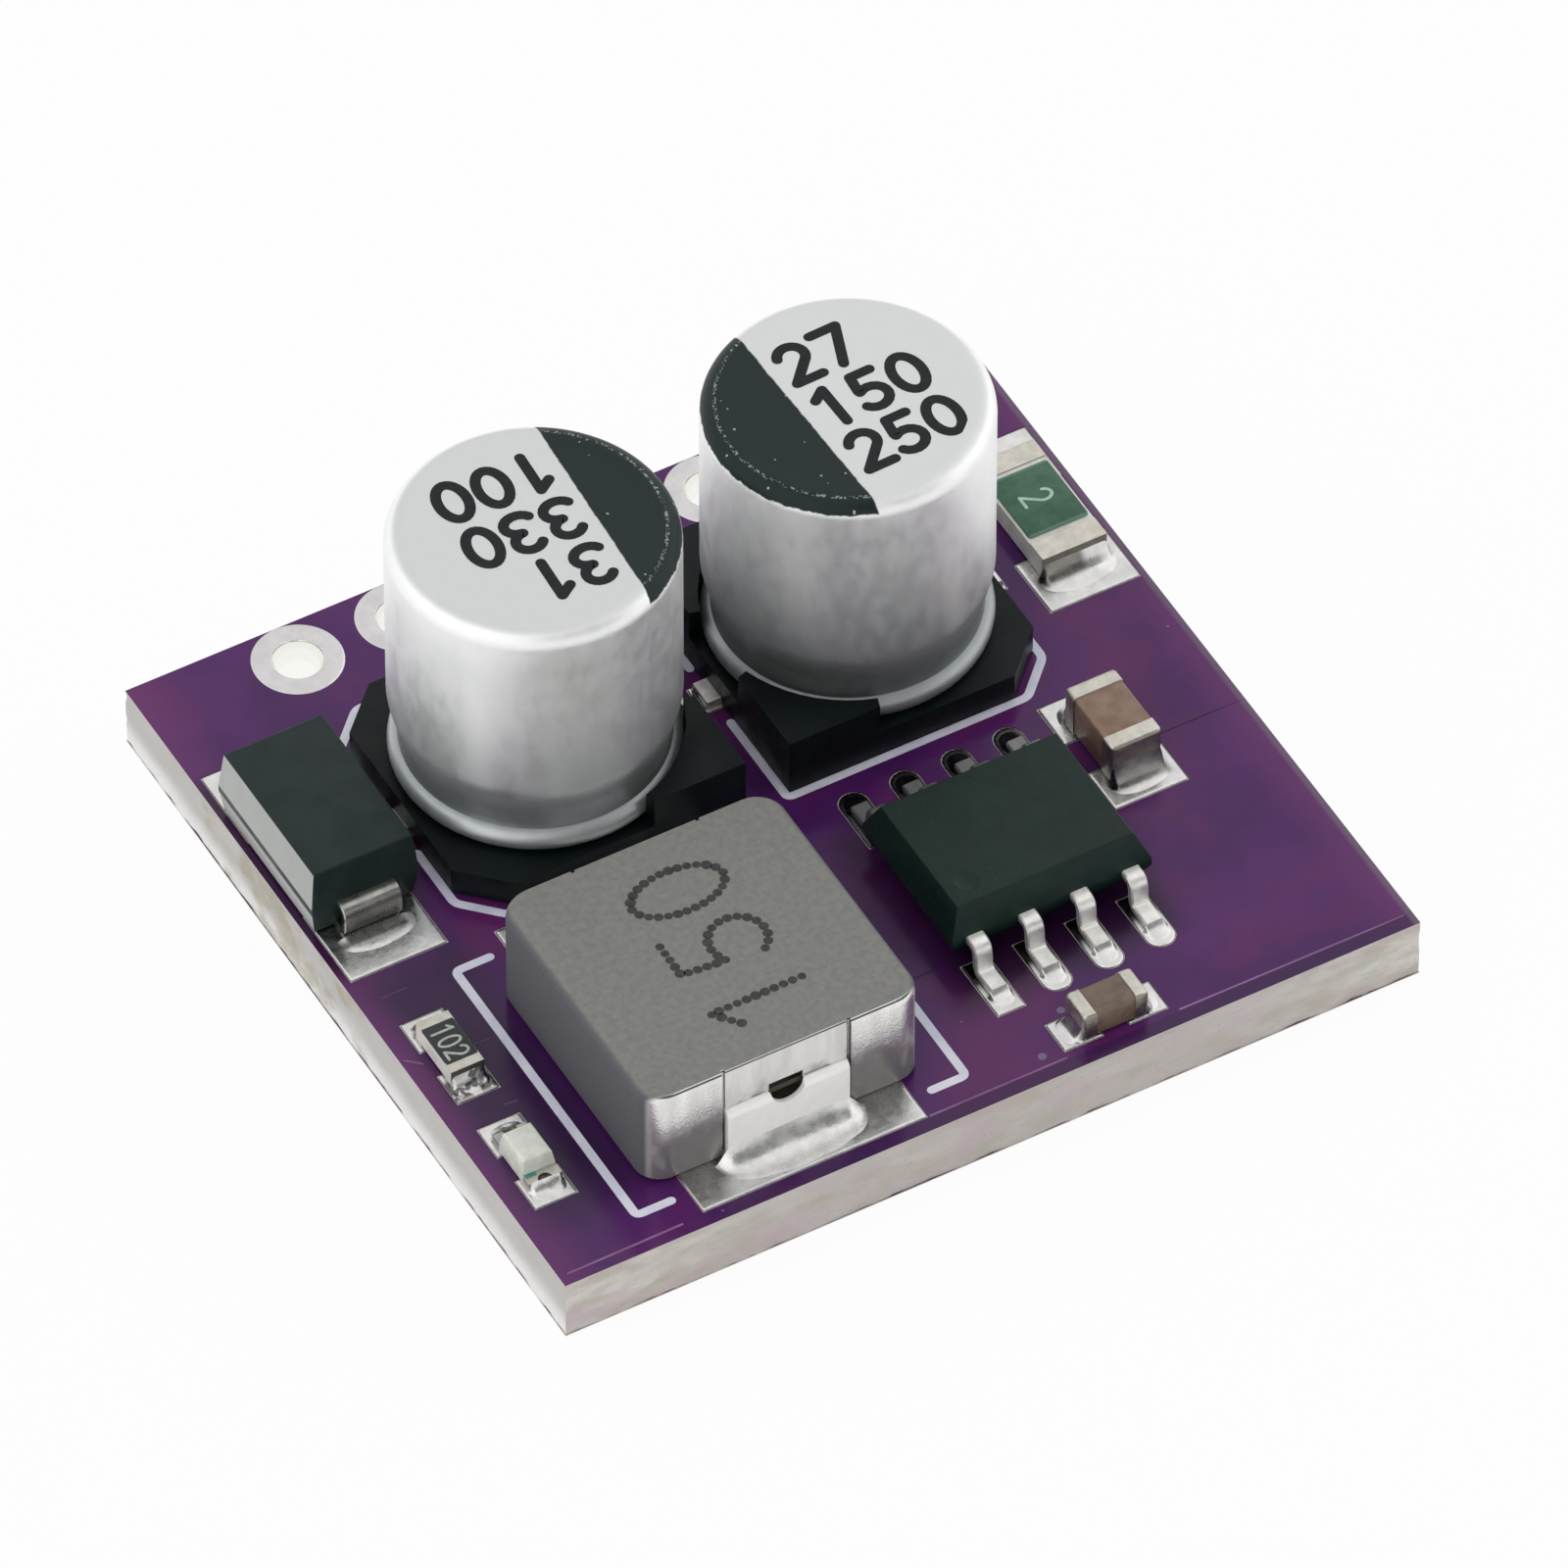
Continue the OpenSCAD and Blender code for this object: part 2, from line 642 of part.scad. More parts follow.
// Post outline: the wedge of the base round one square corner
module post_outline(corner) {
    far = base_w;
    rotate(corner) polygon([[0, 0], [far * cos(post_angle / 2), -far * sin(post_angle / 2)],
        [far * cos(post_angle / 2), far * sin(post_angle / 2)]]);
}

// Base with its positive side at +X
module capacitor_base(x, turn) {
    plate_z = seat_z + base_lift;
    slot_w = strip_w + 2 * pin_gap;
    color(base_colour) translate([x, bases_y, 0]) rotate(turn) difference() {
        union() {
            translate([0, 0, plate_z]) linear_extrude(base_h - base_lift) base_outline(0);
            translate([0, 0, can_z]) linear_extrude(post_h) difference() {
                intersection() {
                    base_outline(0);
                    for (corner = [135, 225]) post_outline(corner);
                }
                circle(can_r + post_gap, $fn = 128);
            }
        }
        for (s = [-1, 1]) {
            translate([s * pin_pitch / 2, 0, seat_z]) cylinder(d = pin_d + 2 * pin_gap, h = base_h + over);
            translate([s * pin_pitch / 2, 0, seat_z]) cylinder(d = slot_w, h = strip_t);
            block([base_w, slot_w, strip_t], s * (pin_pitch + base_w) / 2, 0, seat_z);
        }
    }
}

// Terminal: a pin up to the can and a strip that runs out below the base
module capacitor_terminal(x, side) {
    color(tin_colour) {
        translate([x + side * pin_pitch / 2, bases_y, seat_z]) cylinder(d = pin_d, h = base_h);
        translate([x + side * pin_pitch / 2, bases_y, seat_z]) cylinder(d = strip_w, h = strip_t);
        block([(strip_span - pin_pitch) / 2, strip_w, strip_t],
            x + side * (strip_span + pin_pitch) / 4, bases_y, seat_z);
    }
}

module capacitor_solder(lands, x) {
    solder_along_x(lands, x, bases_y, strip_span, strip_w,
        strip_land_toe - strip_reach, strip_t * fillet_rise);
}

// Inductor

tab_z = seat_z + tab_exit_h;
tab_bend_r = tab_t / 3;
// Straight stretch of a terminal between core and fold, and length of its foot
tab_stub = 0.02;
tab_foot = 0.9;
tab_reach = tab_stub + tab_bend_r + tab_t;
tab_span = inductor_d + 2 * (tab_reach - tab_channel);
channel_w = tab_w + 2 * tab_gap;

module inductor_core() {
    half_w = inductor_w / 2 - inductor_corner_r;
    half_d = inductor_d / 2 - inductor_corner_r;
    color(core_colour) translate([inductor_x, inductor_y, 0]) difference() {
        translate([0, 0, seat_z + core_lift]) linear_extrude(inductor_h - core_lift) {
            square([2 * half_w, inductor_d], center = true);
            square([inductor_w, 2 * half_d], center = true);
            for (sx = [-1, 1], sy = [-1, 1]) translate([sx * half_w, sy * half_d]) circle(inductor_corner_r);
        }
        for (s = [-1, 1]) {
            block([channel_w, 2 * tab_channel, tab_exit_h], 0, s * inductor_d / 2, seat_z);
            block([channel_w, 2 * panel_depth, inductor_h], 0, s * inductor_d / 2, seat_z);
            block([channel_w, 2 * (tab_channel + tab_foot + tab_gap), tab_t], 0, s * inductor_d / 2, seat_z);
            block([tab_notch_w, 2 * (tab_channel + tab_t), relief_h], 0, s * inductor_d / 2, tab_z);
        }
    }
}

// Terminal that leaves the core, folds down its face and runs back below it
module inductor_terminal(s) {
    y = inductor_y + s * (inductor_d / 2 - tab_channel);
    color(tin_colour) difference() {
        outward(inductor_x, y, seat_z, s < 0 ? 0 : 180, tab_w)
            folded_lead(tab_reach, tab_exit_h, tab_t, tab_bend_r, tab_foot);
        translate([inductor_x, y + s * tab_reach, tab_z]) rotate([90, 0, 0])
            cylinder(d = tab_notch_w, h = 2 * (tab_t + tab_bend_r), center = true);
    }
}

module inductor_solder() {
    solder_along_y(inductor_lands, inductor_x, inductor_y, tab_span, tab_w,
        (inductor_toe - inductor_slip_y - tab_t) * fillet_reach, tab_exit_h * lead_fillet_rise);
}

// Diode

// Height of the leads' exit as a share of the diode's height, and length of a lead's foot
exit_share = 0.46;
diode_foot = 0.8;
diode_exit_h = diode_h * exit_share;
diode_bend_r = diode_lead_t;

// Body with a pocket below for the foot of each lead
module diode_body() {
    color(moulding_colour) difference() {
        moulding([diode_w, diode_l, diode_h - diode_lift], diode_x, diode_y,
            seat_z + diode_lift, seat_z + diode_exit_h - diode_lead_t, diode_lead_t, diode_draft);
        for (s = [-1, 1])
            block([diode_lead_w + 2 * diode_lift, 2 * (diode_foot + diode_lift), diode_lead_t],
                diode_x, diode_y + s * diode_l / 2, seat_z);
    }
}

module diode_lead(s) {
    color(tin_colour) outward(diode_x, diode_y + s * diode_l / 2, seat_z, s < 0 ? 0 : 180, diode_lead_w)
        folded_lead(diode_lead_reach, diode_exit_h, diode_lead_t, diode_bend_r, diode_foot);
}

module diode_solder() {
    solder_along_y(diode_lands, diode_x, diode_y, diode_span, diode_lead_w,
        (diode_toe - diode_slip) * fillet_reach, diode_exit_h * lead_fillet_rise);
}

// Controller

lead_exit_h = controller_h / 2 + lead_t / 2;
lead_reach = (lead_span - controller_w) / 2;
lead_stub = lead_reach / 5;
dimple_inset = controller_draft + dimple_d;

module controller_body() {
    color(moulding_colour) difference() {
        moulding([controller_l, controller_w, controller_h - controller_lift], controller_x, controller_y,
            seat_z + controller_lift, seat_z + lead_exit_h - lead_t, lead_t, controller_draft);
        translate([controller_x - controller_l / 2 + dimple_inset,
            controller_y - controller_w / 2 + dimple_inset, seat_z + controller_h - dimple_depth])
            cylinder(d = dimple_d, h = 2 * dimple_depth);
    }
}

module controller_lead(i) {
    s = lead_side(i);
    color(tin_colour) outward(lead_x(i), controller_y + s * controller_w / 2, seat_z, s < 0 ? 0 : 180, lead_w)
        gull_wing(lead_reach, lead_exit_h, lead_t, lead_bend_r, lead_stub);
}

module controller_solder() {
    color(tin_colour) for (i = [1:lead_count]) {
        s = lead_side(i);
        union() {
            land(controller_lands[i - 1]);
            outward(lead_x(i), controller_y + s * lead_span / 2, seat_z, s < 0 ? 0 : 180, lead_w)
                fillet(lead_toe - lead_land_w / 2, lead_t * fillet_rise);
        }
    }
}

// Fuse

fuse_size = [fuse_w, fuse_l, fuse_h - film_t];

module fuse_substrate() {
    color(substrate_colour)
        block([fuse_w, fuse_l - 2 * cap_t, fuse_size.z - 2 * cap_t], fuse_x, fuse_y, seat_z + cap_t);
}

// Coat on the substrate, as high as the film stands over the end caps
module fuse_cover() {
    color(cover_colour)
        block([cover_w, cover_l, cap_t + film_t], fuse_x, fuse_y, seat_z + fuse_size.z - cap_t);
}

module fuse_cap(s) {
    end_cap(fuse_size, fuse_cap_l, fuse_x, fuse_y, s, 0);
}

module fuse_solder() {
    solder_along_y(fuse_lands, fuse_x, fuse_y, fuse_l, fuse_w, fuse_toe * fillet_reach, fuse_h * fillet_rise);
}

// Ceramic capacitors

large_size = [large_w, large_l, large_h];
small_size = [small_w, small_l, small_h];

module ceramic_block(size, x, y) {
    color(ceramic_colour)
        block([size.x - 2 * cap_t, size.y - 2 * cap_t, size.z - 2 * cap_t], x, y, seat_z + cap_t);
}

// The small capacitor lies along X, so its shapes are drawn along Y and turned
module turned_small() {
    translate([small_x, small_y, 0]) rotate(-90) children();
}

module large_ceramic_cap(s) {
    end_cap(large_size, large_cap_l, large_x, large_y, s, 1);
}

module small_ceramic_cap(s) {
    turned_small() end_cap(small_size, small_cap_l, 0, 0, s, 1);
}

module large_ceramic_solder() {
    solder_along_y(large_lands, large_x, large_y, large_l, large_w,
        large_toe * fillet_reach, large_h * fillet_rise);
}

module small_ceramic_solder() {
    solder_along_x(small_lands, small_x, small_y, small_l, small_w,
        small_toe * fillet_reach, small_h * fillet_rise);
}

// Resistor

resistor_size = [chip_w, chip_l, resistor_h];

module resistor_substrate() {
    color(substrate_colour)
        block([chip_w, chip_l - 2 * cap_t, resistor_h - 2 * cap_t], chip_x, resistor_y, seat_z + cap_t);
}

module resistor_film() {
    color(film_colour) block([chip_w - 2 * film_t, chip_l - 2 * resistor_cap_l, film_t],
        chip_x, resistor_y, seat_z + resistor_h - cap_t);
}

module resistor_cap(s) {
    end_cap(resistor_size, resistor_cap_l, chip_x, resistor_y, s, 0);
}

module resistor_solder() {
    solder_along_y(resistor_lands, chip_x, resistor_y, chip_l, chip_w,
        chip_toe * fillet_reach, resistor_h * fillet_rise);
}

// Lamp

module lamp_base() {
    color(substrate_colour)
        block([chip_w, chip_l - 2 * lamp_end_l, lamp_base_h], chip_x, lamp_y, seat_z);
}

module lamp_lens() {
    lens_l = chip_l - 2 * lamp_end_l;
    lens_top = lens_l - 2 * lens_draft;
    color(lens_colour) hull() {
        block([chip_w, lens_l, slice], chip_x, lamp_y, seat_z + lamp_base_h);
        block([chip_w - 2 * lens_draft, lens_top, slice], chip_x, lamp_y, seat_z + lamp_h - slice);
    }
}

// Castellated end with a half-round notch
module lamp_end(s) {
    y = lamp_y + s * chip_l / 2;
    color(tin_colour) difference() {
        block([chip_w, lamp_end_l, lamp_base_h], chip_x, y - s * lamp_end_l / 2, seat_z);
        translate([chip_x, y, seat_z - over]) cylinder(r = lamp_notch_r, h = lamp_base_h + 2 * over);
    }
}

module lamp_solder() {
    solder_along_y(lamp_lands, chip_x, lamp_y, chip_l, chip_w,
        chip_toe * fillet_reach, lamp_base_h * fillet_rise);
}

board_core();
top_mask();
bottom_mask();
legend();
for (i = [1:4])
    wire_eyelet(i);

capacitor_can(output_x);  // output_capacitor_can
capacitor_base(output_x, 180);  // output_capacitor_base
capacitor_terminal(output_x, -1);  // output_capacitor_positive_terminal
capacitor_terminal(output_x, 1);  // output_capacitor_negative_terminal
capacitor_solder(output_lands, output_x);  // output_capacitor_solder
capacitor_can(input_x);  // input_capacitor_can
capacitor_base(input_x, 0);  // input_capacitor_base
capacitor_terminal(input_x, 1);  // input_capacitor_positive_terminal
capacitor_terminal(input_x, -1);  // input_capacitor_negative_terminal
capacitor_solder(input_lands, input_x);  // input_capacitor_solder

inductor_core();
inductor_terminal(-1);  // inductor_front_terminal
inductor_terminal(1);  // inductor_rear_terminal
inductor_solder();

diode_body();
diode_lead(-1);  // diode_front_lead
diode_lead(1);  // diode_rear_lead
diode_solder();

controller_body();
controller_solder();
for (i = [1:lead_count])
    controller_lead(i);

fuse_substrate();
fuse_cover();
fuse_cap(-1);  // fuse_front_cap
fuse_cap(1);  // fuse_rear_cap
fuse_solder();

ceramic_block(large_size, large_x, large_y);  // large_ceramic_block
large_ceramic_cap(-1);  // large_ceramic_front_cap
large_ceramic_cap(1);  // large_ceramic_rear_cap
large_ceramic_solder();

turned_small() ceramic_block(small_size, 0, 0);  // small_ceramic_block
small_ceramic_cap(-1);  // small_ceramic_left_cap
small_ceramic_cap(1);  // small_ceramic_right_cap
small_ceramic_solder();

resistor_substrate();
resistor_film();
resistor_cap(-1);  // resistor_front_cap
resistor_cap(1);  // resistor_rear_cap
resistor_solder();

lamp_base();
lamp_lens();
lamp_end(-1);  // lamp_front_end
lamp_end(1);  // lamp_rear_end
lamp_solder();
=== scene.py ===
import math

import bmesh
import bpy
from mathutils import Matrix, Vector, noise


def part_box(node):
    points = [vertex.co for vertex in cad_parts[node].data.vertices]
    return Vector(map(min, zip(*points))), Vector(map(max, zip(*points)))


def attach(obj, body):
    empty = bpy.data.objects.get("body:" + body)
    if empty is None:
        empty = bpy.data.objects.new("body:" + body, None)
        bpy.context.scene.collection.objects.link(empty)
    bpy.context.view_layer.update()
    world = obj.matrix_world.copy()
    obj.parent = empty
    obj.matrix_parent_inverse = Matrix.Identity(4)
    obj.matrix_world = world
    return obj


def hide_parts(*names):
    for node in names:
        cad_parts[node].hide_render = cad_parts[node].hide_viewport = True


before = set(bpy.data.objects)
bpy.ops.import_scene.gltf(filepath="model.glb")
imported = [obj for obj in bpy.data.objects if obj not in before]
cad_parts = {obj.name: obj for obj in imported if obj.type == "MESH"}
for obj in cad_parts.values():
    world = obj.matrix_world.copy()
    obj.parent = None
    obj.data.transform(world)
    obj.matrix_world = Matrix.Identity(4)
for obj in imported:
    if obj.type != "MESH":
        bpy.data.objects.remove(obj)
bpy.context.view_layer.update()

scene = bpy.context.scene
MM = 0.001


# Sizes and places on the part in millimetres, and turns in degrees

BOARD_TOP = 1.6
LAND_TOP = 1.62
CORE_TOP = 1.57
DRILL_R = 0.75
INK_T = 0.006
CAPACITORS = ("output_capacitor", "input_capacitor")
CAN_SPOTS = ((-3.83, 3.4), (3.83, 3.4))
CAN_TURNS = (-2.9, 2.0)
CAN_TOP = 9.15
CAN_DISH = 0.014
INDUCTOR_SPOT = (-4.25, -4.96, 0)
FUSE_SPOT = (9.13, 4.42)
RESISTOR_SPOT = (-9.39, -2.87)
CONTROLLER_X = 3.5
LEAD_PITCH = 1.27
LEADS_IN_ROW = 4
EYELETS = [f"wire_eyelet_{i}" for i in range(1, 5)]
FRONT, REAR, LEFT, RIGHT = (0, -1), (0, 1), (-1, 0), (1, 0)


def span(node):
    """A solid's lowest and highest corners in millimetres."""
    low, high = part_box(node)
    return low / MM, high / MM


def middle_of(node):
    low, high = span(node)
    return (low + high) / 2


def srgb(red, green, blue):
    """A colour as it is seen, from 0 to 255, turned into the light a shader works in."""
    light = [c / 3294.6 if c <= 10.31 else ((c / 255 + 0.055) / 1.055) ** 2.4 for c in (red, green, blue)]
    return (*light, 1.0)


def added(name, data):
    """A new object in the scene."""
    obj = bpy.data.objects.new(name, data)
    scene.collection.objects.link(obj)
    return obj


# Wiring of nodes


def put(tree, kind, feeds=None, **settings):
    """Adds a node, sets it up and feeds its inputs from other nodes or with plain values."""
    made = tree.nodes.new(kind)
    for key, value in settings.items():
        setattr(made, key, value)
    for key, value in (feeds or {}).items():
        if isinstance(value, bpy.types.NodeSocket):
            tree.links.new(value, made.inputs[key])
        else:
            made.inputs[key].default_value = value
    return made


def math_node(tree, operation, *values):
    return put(tree, "ShaderNodeMath", dict(enumerate(values)), operation=operation).outputs[0]


def ramp(tree, value, low, high, bottom=0.0, top=1.0):
    """A soft step that goes from bottom to top while the value goes from low to high."""
    feeds = {"Value": value, "From Min": low, "From Max": high, "To Min": bottom, "To Max": top}
    return put(tree, "ShaderNodeMapRange", feeds, interpolation_type="SMOOTHSTEP").outputs["Result"]


def blend_colours(tree, mask, under, over):
    return put(tree, "ShaderNodeMix", {0: mask, 6: under, 7: over}, data_type="RGBA").outputs[2]


def blend_values(tree, mask, under, over):
    return put(tree, "ShaderNodeMix", {0: mask, 2: under, 3: over}, data_type="FLOAT").outputs[0]


def empty_material(name):
    """A material with nothing wired in it yet, and its tree."""
    material = bpy.data.materials.new(name)
    material.use_nodes = True
    material.node_tree.nodes.clear()
    return material, material.node_tree


def empty_tree(kind, name, inputs, result, result_kind):
    """A tree with its named inputs and one result, to be wired between them."""
    tree = bpy.data.node_groups.new(name, kind)
    for label, socket in inputs.items():
        tree.interface.new_socket(name=label, in_out="INPUT", socket_type="NodeSocket" + socket)
    tree.interface.new_socket(name=result, in_out="OUTPUT", socket_type="NodeSocket" + result_kind)
    return tree, tree.nodes.new("NodeGroupInput").outputs, tree.nodes.new("NodeGroupOutput").inputs[result]


# Effects that the finishes share


def effect(name, result, result_kind, **more):
    """An empty effect that is placed and sized by its first two inputs."""
    inputs = {"Place": "Vector", "Size": "Float", **more}
    return empty_tree("ShaderNodeTree", name, inputs, result, result_kind)


def group_noise(tree, given, detail, finer=1.0):
    """Noise whose blotches are as wide as the group's Size input."""
    scale = math_node(tree, "DIVIDE", finer, given["Size"])
    feeds = {"Vector": given["Place"], "Scale": scale, "Detail": detail, "Roughness": 0.55}
    return put(tree, "ShaderNodeTexNoise", feeds).outputs["Fac"]


def make_mottle():
    """Colour that wanders between two tones."""
    tree, given, tone = effect("mottle", "Tone", "Color", Dark="Color", Pale="Color")
    patch = ramp(tree, group_noise(tree, given, 4.0), 0.3, 0.7)
    tree.links.new(blend_colours(tree, patch, given["Dark"], given["Pale"]), tone)
    return tree


def make_scuff():
    """Gloss that wanders between a smooth and a rough value."""
    tree, given, gloss = effect("scuff", "Gloss", "Float", Smooth="Float", Rough="Float")
    patch = ramp(tree, group_noise(tree, given, 3.0), 0.32, 0.68, given["Smooth"], given["Rough"])
    tree.links.new(patch, gloss)
    return tree


def make_grain():
    """Height of a fine grain with a finer one on it."""
    tree, given, height = effect("grain", "Height", "Float")
    coarse = group_noise(tree, given, 1.0)
    fine = math_node(tree, "MULTIPLY", group_noise(tree, given, 2.0, 3.1), 0.4)
    tree.links.new(math_node(tree, "ADD", coarse, fine), height)
    return tree


def make_specks():
    """Mask of small specks strewn thinly: Share is how many of the cells hold one."""
    tree, given, mask = effect("specks", "Mask", "Float", Share="Float")
    scale = math_node(tree, "DIVIDE", 1.0, given["Size"])
    cells = put(tree, "ShaderNodeTexVoronoi", {"Vector": given["Place"], "Scale": scale})
    pick = put(tree, "ShaderNodeSeparateColor", {0: cells.outputs["Color"]})
    chosen = math_node(tree, "LESS_THAN", pick.outputs[0], given["Share"])
    reach = math_node(tree, "MULTIPLY_ADD", pick.outputs[1], 0.16, 0.06)
    near = math_node(tree, "LESS_THAN", cells.outputs["Distance"], reach)
    tree.links.new(math_node(tree, "MULTIPLY", chosen, near), mask)
    return tree


MOTTLE = make_mottle()
SCUFF = make_scuff()
GRAIN = make_grain()
SPECKS = make_specks()


class Finish:
    """A procedural finish: wandering colour, uneven gloss and a fine grain, with layers laid over it.

    Colours are as seen, from 0 to 255. Widths of patches and grain, and its depth, are in millimetres.
    """

    def __init__(self, name, dark, pale, patch, gloss, grain, depth, stretch=(1, 1, 1), **shader):
        self.material, self.tree = empty_material(name)
        constants = {key.replace("_", " "): value for key, value in shader.items()}
        self.shader = put(self.tree, "ShaderNodeBsdfPrincipled", constants)
        put(self.tree, "ShaderNodeOutputMaterial", {"Surface": self.shader.outputs[0]})
        self.place = self.spot(stretch)
        self.tone = self.group(MOTTLE, Size=patch, Dark=srgb(*dark), Pale=srgb(*pale))
        self.gloss = self.group(SCUFF, Size=patch * 0.6, Smooth=gloss[0], Rough=gloss[1])
        self.height = self.group(GRAIN, Size=grain)
        self.depth = depth
        self.metal = None

    def spot(self, stretch=(1, 1, 1), shift=0.0):
        """The place on the part in millimetres, drawn out along an axis by a stretch under 1."""
        where = put(self.tree, "ShaderNodeTexCoord").outputs["Object"]
        feeds = {"Vector": where, "Scale": [s / MM for s in stretch], "Location": (shift, 0, 0)}
        return put(self.tree, "ShaderNodeMapping", feeds).outputs[0]

    def group(self, shared, **feeds):
        """A shared effect, at the finish's own place unless it is given another."""
        feeds = {"Place": self.place, **feeds}
        return put(self.tree, "ShaderNodeGroup", feeds, node_tree=shared).outputs[0]

    def noise(self, scale, detail, stretch=(1, 1, 1), shift=0.0):
        feeds = {"Vector": self.spot(stretch, shift), "Scale": scale, "Detail": detail}
        return put(self.tree, "ShaderNodeTexNoise", feeds).outputs["Fac"]

    def axes(self, centre=(0, 0, 0), turn=0.0):
        """The three coordinates in millimetres, about a centre and turned by degrees."""
        feeds = {"Vector": self.spot(), "Location": centre, "Rotation": (0, 0, math.radians(turn))}
        placed = put(self.tree, "ShaderNodeMapping", feeds, vector_type="TEXTURE").outputs[0]
        return put(self.tree, "ShaderNodeSeparateXYZ", {0: placed}).outputs

    def facing(self, axis):
        """How the surface faces along an axis."""
        normal = put(self.tree, "ShaderNodeNewGeometry").outputs["Normal"]
        return put(self.tree, "ShaderNodeSeparateXYZ", {0: normal}).outputs[axis]

    def calc(self, operation, *values):
        return math_node(self.tree, operation, *values)

    def unsigned(self, value):
        return self.calc("ABSOLUTE", value)

    def times(self, mask, *others):
        """Masks multiplied together."""
        for other in others:
            mask = self.calc("MULTIPLY", mask, other)
        return mask

    def ramp(self, *how):
        return ramp(self.tree, *how)

    def patch(self, low, high, soft, strength):
        """Mask of a rectangle on the board, from one corner to the other, with soft sides."""
        place = self.axes()
        mask = strength
        for axis in range(2):
            begin = self.ramp(place[axis], low[axis] - soft[axis], low[axis] + soft[axis])
            end = self.ramp(place[axis], high[axis] + soft[axis], high[axis] - soft[axis])
            mask = self.times(mask, begin, end)
        return mask

    def paint(self, mask, colour):
        """Lays a colour, plain or from other nodes, over what is there."""
        colour = srgb(*colour) if isinstance(colour, tuple) else colour
        self.tone = blend_colours(self.tree, mask, self.tone, colour)

    # Lays a colour over a soft rectangle: real stains, and painted shade where shade falls.
    def stain_and_shade(self, low, high, soft, strength, colour):
        self.paint(self.patch(low, high, soft, strength), colour)

    def polish(self, mask, gloss):
        self.gloss = blend_values(self.tree, mask, self.gloss, gloss)

    def done(self):
        feeds = {"Height": self.height, "Distance": self.depth * MM, "Strength": 1.0}
        bump = put(self.tree, "ShaderNodeBump", feeds).outputs[0]
        layers = {"Base Color": self.tone, "Roughness": self.gloss, "Normal": bump, "Metallic": self.metal}
        for socket, layer in layers.items():
            if layer:
                self.tree.links.new(layer, self.shader.inputs[socket])
        return self.material


def plain(*values, **shader):
    """A finish with nothing laid over it."""
    return Finish(*values, **shader).done()


# Finishes with layers, their places in millimetres on the part


def purple_mask(name, dark, pale):
    """Purple lacquer: warmer in clouds and at the sides, darker by the front, with painted shade beside the
    diode and left of the inductor, and painted shade with dried flux round the controller and between its
    front leads.
    """
    f = Finish(name, dark, pale, 2.4, (0.14, 0.24), 0.07, 0.0012, Specular_IOR_Level=0.3)
    x, y, _ = f.axes()
    out_x, out_y = f.unsigned(x), f.unsigned(y)
    f.paint(f.ramp(f.noise(0.38, 3.0), 0.5, 0.68, 0.0, 0.45), (102, 36, 88))
    f.paint(f.ramp(out_x, 9.2, 10.4, 0.0, 0.5), (112, 52, 108))
    f.stain_and_shade((-6.5, -9.9), (11, -9.36), (1.0, 0.04), 0.7, (56, 24, 70))
    # painted shade beside the diode
    f.stain_and_shade((-11, 0.2), (-10.1, 6.5), (0.08, 0.4), 0.75, (36, 18, 42))
    # painted shade left of the inductor
    f.stain_and_shade((-10.0, -8.0), (-7.6, 0.0), (0.5, 0.9), 0.7, (40, 22, 54))
    # painted shade with dried flux round the controller, deepest between its front leads
    f.stain_and_shade((0.4, -7.4), (6.1, -1.4), (0.5, 0.4), 0.5, (40, 20, 42))
    f.stain_and_shade((1.1, -7.0), (5.9, -5.6), (0.3, 0.3), 0.6, (24, 14, 28))
    f.paint(f.group(SPECKS, Size=0.5, Share=0.025), (120, 100, 130))
    f.paint(f.ramp(x, 10.2, 10.32, 0.0, 0.7), (112, 98, 116))
    outermost = f.calc("MAXIMUM", f.ramp(out_x, 10.36, 10.38), f.ramp(out_y, 9.66, 9.68))
    upright = f.ramp(f.unsigned(f.facing(2)), 0.6, 0.3)
    f.paint(f.times(outermost, upright), (198, 194, 186))
    return f.done()


def board_laminate():
    """Cut laminate: pale with grey strands, tinged and gritty on its front face, stained on its left one,
    which painted shade darkens and painted light whitens towards the bottom.
    """
    f = Finish(
        "board_laminate", (206, 202, 192), (222, 219, 211), 1.1, (0.45, 0.7), 0.05, 0.006,
        stretch=(0.5, 0.5, 2.0),
    )
    strands = f.noise(1.0, 4.0, (2.2, 2.2, 12.0))
    f.paint(f.ramp(strands, 0.5, 0.75, 0.0, 0.4), (168, 160, 150))
    _, y, z = f.axes()
    front = f.ramp(f.facing(1), -0.4, -0.7)
    f.paint(f.times(front, f.patch((-7.0, -11), (8.0, 0), (2.5, 1), 0.55)), (186, 178, 176))
    for shift, tint in ((0, (182, 180, 168)), (40, (200, 182, 190)), (80, (190, 176, 168))):
        tinge = f.noise(1.0, 5.0, (0.7, 0.7, 1.6), shift)
        f.paint(f.times(front, f.ramp(tinge, 0.48, 0.7, 0.0, 0.7)), tint)
    grit = f.group(SPECKS, Place=f.spot(), Size=0.13, Share=0.3)
    f.paint(f.times(front, grit, 0.35), (112, 102, 92))
    left = f.ramp(f.facing(0), -0.4, -0.7)
    # painted shade over the left face, then painted light that whitens it towards the bottom
    f.paint(f.times(left, 0.9), (190, 187, 184))
    f.paint(f.times(left, f.ramp(z, 0.9, 0.1)), (240, 239, 237))
    middle = f.times(f.ramp(y, -4.2, -0.5), f.ramp(y, 8.5, 5.0))
    blotched = f.times(left, middle, f.noise(1.0, 4.0, (1.2, 1.2, 1.6)))
    f.paint(f.ramp(blotched, 0.42, 0.66, 0.0, 0.5), (156, 144, 110))
    return f.done()


